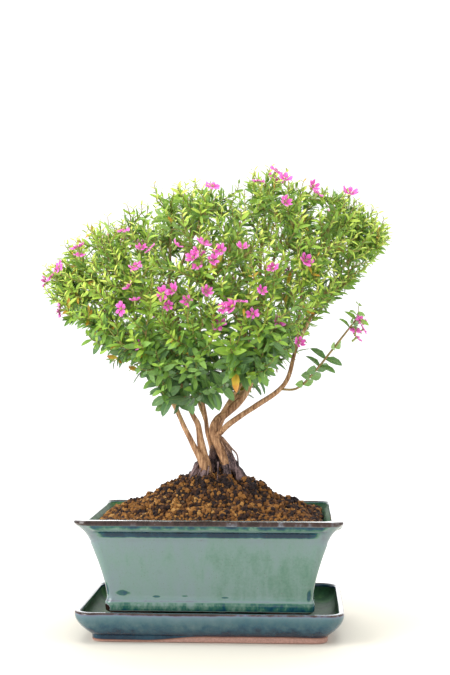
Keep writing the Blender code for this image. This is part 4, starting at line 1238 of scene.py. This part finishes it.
def add_petal(bm, angle, cup, rng, shade, along_layer):
    """One crinkled petal: a narrow claw that widens into a rounded, wavy blade."""
    grid = []
    phase = rng.uniform(0, 6)
    for i in range(PETAL_STEPS + 1):
        t = i / PETAL_STEPS
        half = PETAL_WIDTH / 2 * (0.10 + 0.90 * math.sin(min(t, 0.97) * 2.35) ** 1.6 if t > 0.02 else 0.10)
        half *= 1 if t < 0.9 else 0.86
        row = []
        for k in range(PETAL_STEPS + 1):
            s = 2 * k / PETAL_STEPS - 1
            out = 0.0010 + PETAL_LENGTH * t * (1 - 0.13 * s * s * t)
            lift = PETAL_LENGTH * (cup * t * t * 0.5 + 0.12 * t)
            lift += 0.00080 * t * math.sin(5.5 * s + phase)
            lift += 0.0005 * t * math.sin(9 * t + phase * 2) - 0.0004 * s * s
            vert = bm.verts.new((out, s * half, lift))
            vert[along_layer] = t
            vert[shade] = 1.0
            row.append(vert)
        grid.append(row)
    faces = []
    for lower, upper in zip(grid, grid[1:]):
        for k in range(PETAL_STEPS):
            faces.append(bm.faces.new((lower[k], lower[k + 1], upper[k + 1], upper[k])))
    verts = [vert for row in grid for vert in row]
    bmesh.ops.rotate(bm, verts=verts, cent=(0, 0, 0), matrix=Matrix.Rotation(angle, 3, "Z"))
    return faces


def flower_shape(name, seed, cup):
    """A whole flower with its mouth at the origin, opening along +Z."""
    rng = random.Random(seed)
    bm = bmesh.new()
    shade = bm.verts.layers.float.new("is_petal")
    along_layer = bm.verts.layers.float.new("along_petal")
    faces = []
    for number in range(PETALS):
        angle = math.tau * number / PETALS + rng.uniform(-0.12, 0.12)
        faces += add_petal(bm, angle, cup + rng.uniform(-0.2, 0.25), rng, shade, along_layer)
    bmesh.ops.solidify(bm, geom=faces, thickness=PETAL_THICKNESS)
    rings = []
    for height, radius in CALYX_RINGS:
        ring = []
        for k in range(CALYX_SIDES):
            angle = math.tau * k / CALYX_SIDES
            rib = radius * (1.08 if k % 2 else 0.92) * CALYX_RADIUS
            ring.append(bm.verts.new((math.cos(angle) * rib, math.sin(angle) * rib, height)))
        rings.append(ring)
    for upper, lower in zip(rings, rings[1:]):
        for k in range(CALYX_SIDES):
            after = (k + 1) % CALYX_SIDES
            bm.faces.new((upper[k], lower[k], lower[after], upper[after]))
    bm.faces.new(rings[0])
    bm.faces.new(reversed(rings[-1]))
    for number in range(STAMENS):
        angle = math.tau * number / STAMENS + 0.3
        foot = Vector((math.cos(angle), math.sin(angle), 0)) * 0.0004
        head = foot * 2.2 + Vector((0, 0, 0.0017 + 0.0004 * (number % 2)))
        made = bmesh.ops.create_cone(bm, cap_ends=True, segments=5, **STAMEN_SIZES)
        spin = (head - foot).to_track_quat("Z", "Y").to_matrix().to_4x4()
        bmesh.ops.transform(bm, matrix=Matrix.Translation((foot + head) / 2) @ spin, verts=made["verts"])
        for vert in made["verts"]:
            vert[shade] = 0.5
    return mesh_from(name, bm, 60)


petal, place, shader = finish("petal", IOR=1.4, Sheen_Weight=0.25)
is_petal = place.attribute("is_petal")
along = place.attribute("along_petal")
wash = place.cloud(240, 3.0)
crinkle = place.cloud(1100, 3.0, 0.6)
# Petals darken towards the base: partly their own deeper colour there and partly painted shade, the ramp
# running from the shaded colour at the base to the lit colour at the tip.
colour = (along * 0.75 + (wash - 0.5) * 0.7 + 0.15).clamped().ramp((
    (0.0, (0.470, 0.025, 0.240)), (0.35, (0.720, 0.070, 0.430)), (0.7, (0.860, 0.170, 0.600)),
    (1.0, (0.930, 0.340, 0.750)),
))
colour = (1 - is_petal.rise(0.6, 0.9)).tint(colour, (0.620, 0.300, 0.300))
calyx = crinkle.ramp(((0.3, (0.150, 0.250, 0.040)), (0.7, (0.400, 0.440, 0.110))))
colour = (1 - is_petal.rise(0.1, 0.4)).tint(colour, calyx)
lead(shader, Base_Color=colour, Roughness=0.50 + wash * 0.2, Normal=(crinkle + wash * 0.5).bump(0.0005, 0.7))

FLOWER_CUPS = (0.15, 0.7, -0.2, 1.1)
flower_kinds = [flower_shape("flower_kind", seed, cup) for seed, cup in enumerate(FLOWER_CUPS, 1)]


def add_flower(bm, place, out, rng):
    """A copy of one kind of flower at a place, opening along out, with its calyx behind it."""
    kind = rng.choice(flower_kinds)
    size = rng.uniform(SMALLEST_FLOWER, LARGEST_FLOWER)
    turn = out.to_track_quat("Z", "Y").to_matrix().to_4x4() @ Matrix.Rotation(rng.uniform(0, math.tau), 4, "Z")
    start = len(bm.verts)
    bm.from_mesh(kind)
    bm.verts.ensure_lookup_table()
    moved = Matrix.Translation(place) @ turn @ Matrix.Scale(size, 4)
    bmesh.ops.transform(bm, matrix=moved, verts=bm.verts[start:])


def flower_mouth(middle, rng):
    """The way a flower opens: out of the fan and upwards, each one turned by its own amount."""
    out = Vector((middle.x * 0.7, middle.y, (middle.z - 0.22) * 0.7)).normalized()
    turn = Vector((rng.uniform(-1, 1), rng.uniform(-1, 1), rng.uniform(-0.4, 1.1)))
    return (out + turn * 0.85).normalized()


rng = random.Random(5)
named = sorted(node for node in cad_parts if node.startswith("flower_"))
for node, place in zip(named, NAMED_FLOWERS):
    middle = Vector(place) / 1000
    bm = bmesh.new()
    add_flower(bm, middle, flower_mouth(middle, rng), rng)
    settle(new_piece(mesh_from("bloom" + node[6:], bm, 60), petal), "petal", node)
backs = [shoot["tip"] for shoot in shoots if shoot["tip"].y > 0 or shoot["tip"].z > 0.335]
for name, places in (
    ("front_blooms", [Vector(place) / 1000 for place in FRONT_FLOWERS]),
    ("side_and_back_blooms", rng.sample(backs, OTHER_FLOWERS)),
):
    bm = bmesh.new()
    for middle in places:
        add_flower(bm, middle, flower_mouth(middle, rng), rng)
    settle(new_piece(mesh_from(name, bm, 60), petal), "petal")


# ----------------------------------------------------------------------
# Studio. A pale floor, darker and warmer round the object as a painted shadow, that fades out into a white
# room, with four large soft lamps and a camera that stands about a metre in front of the pot and slightly to
# its right.

FLOOR_SIZE, FLOOR_FADE, LAMP_AIM = 2.0, (0.5, 1.6), Vector((0, 0, 0.18))
LENS_LENGTH, SENSOR_WIDTH = 73.07, 36.0
CAMERA_PLACE, CAMERA_TURN = (0.069, -1.075, 0.219), (90.43, 0.0, 3.2)

floor_paint, place, shader = finish("floor_paint", IOR=1.3, Roughness=0.9)
away = place.vector("LENGTH", output="Value")
# Within 0.12 to 0.36 m of the object the floor is darker and warmer: a painted shadow.
paint_with_shadow = away.rise(0.12, 0.36).tint((0.74, 0.70, 0.615), (0.90, 0.90, 0.90))
lead(shader, Base_Color=paint_with_shadow, Alpha=1 - away.rise(*FLOOR_FADE))
bm = bmesh.new()
bmesh.ops.create_grid(bm, x_segments=1, y_segments=1, size=FLOOR_SIZE)
floor = new_piece(mesh_from("floor", bm), floor_paint)
floor.location.z = -0.0002

for name, place, size, power in (
    ("back_lamp", (0.0, 1.4, 1.0), 2.0, 24.0),
    ("top_lamp", (0.0, -0.2, 1.7), 1.4, 15.0),
    ("left_lamp", (-1.3, -0.9, 0.8), 1.0, 24.0),
    ("right_lamp", (1.4, -0.4, 0.8), 1.0, 6.0),
):
    lamp = bpy.data.lights.new(name, "AREA")
    lamp.energy, lamp.size = power, size
    holder = bpy.data.objects.new(name, lamp)
    holder.location = place
    holder.rotation_euler = (LAMP_AIM - Vector(place)).to_track_quat("-Z", "Y").to_euler()
    holder.visible_camera = False
    bpy.context.scene.collection.objects.link(holder)

world = bpy.data.worlds.new("white_room")
world.use_nodes = True
bpy.context.scene.world = world
wire = Wire(world.node_tree)
seen = wire.node("ShaderNodeLightPath", (), (), "Is Camera Ray")
backdrop = world.node_tree.nodes["Background"]
backdrop.inputs["Color"].default_value = (1.0, 1.0, 1.0, 1.0)
world.node_tree.links.new((0.85 + seen * 0.40).socket, backdrop.inputs["Strength"])
bpy.context.scene.view_settings.view_transform = "Standard"

lens = bpy.data.cameras.new("camera")
lens.lens, lens.sensor_width = LENS_LENGTH, SENSOR_WIDTH
camera = bpy.data.objects.new("camera", lens)
camera.location = CAMERA_PLACE
camera.rotation_euler = [math.radians(angle) for angle in CAMERA_TURN]
bpy.context.scene.collection.objects.link(camera)
bpy.context.scene.camera = camera
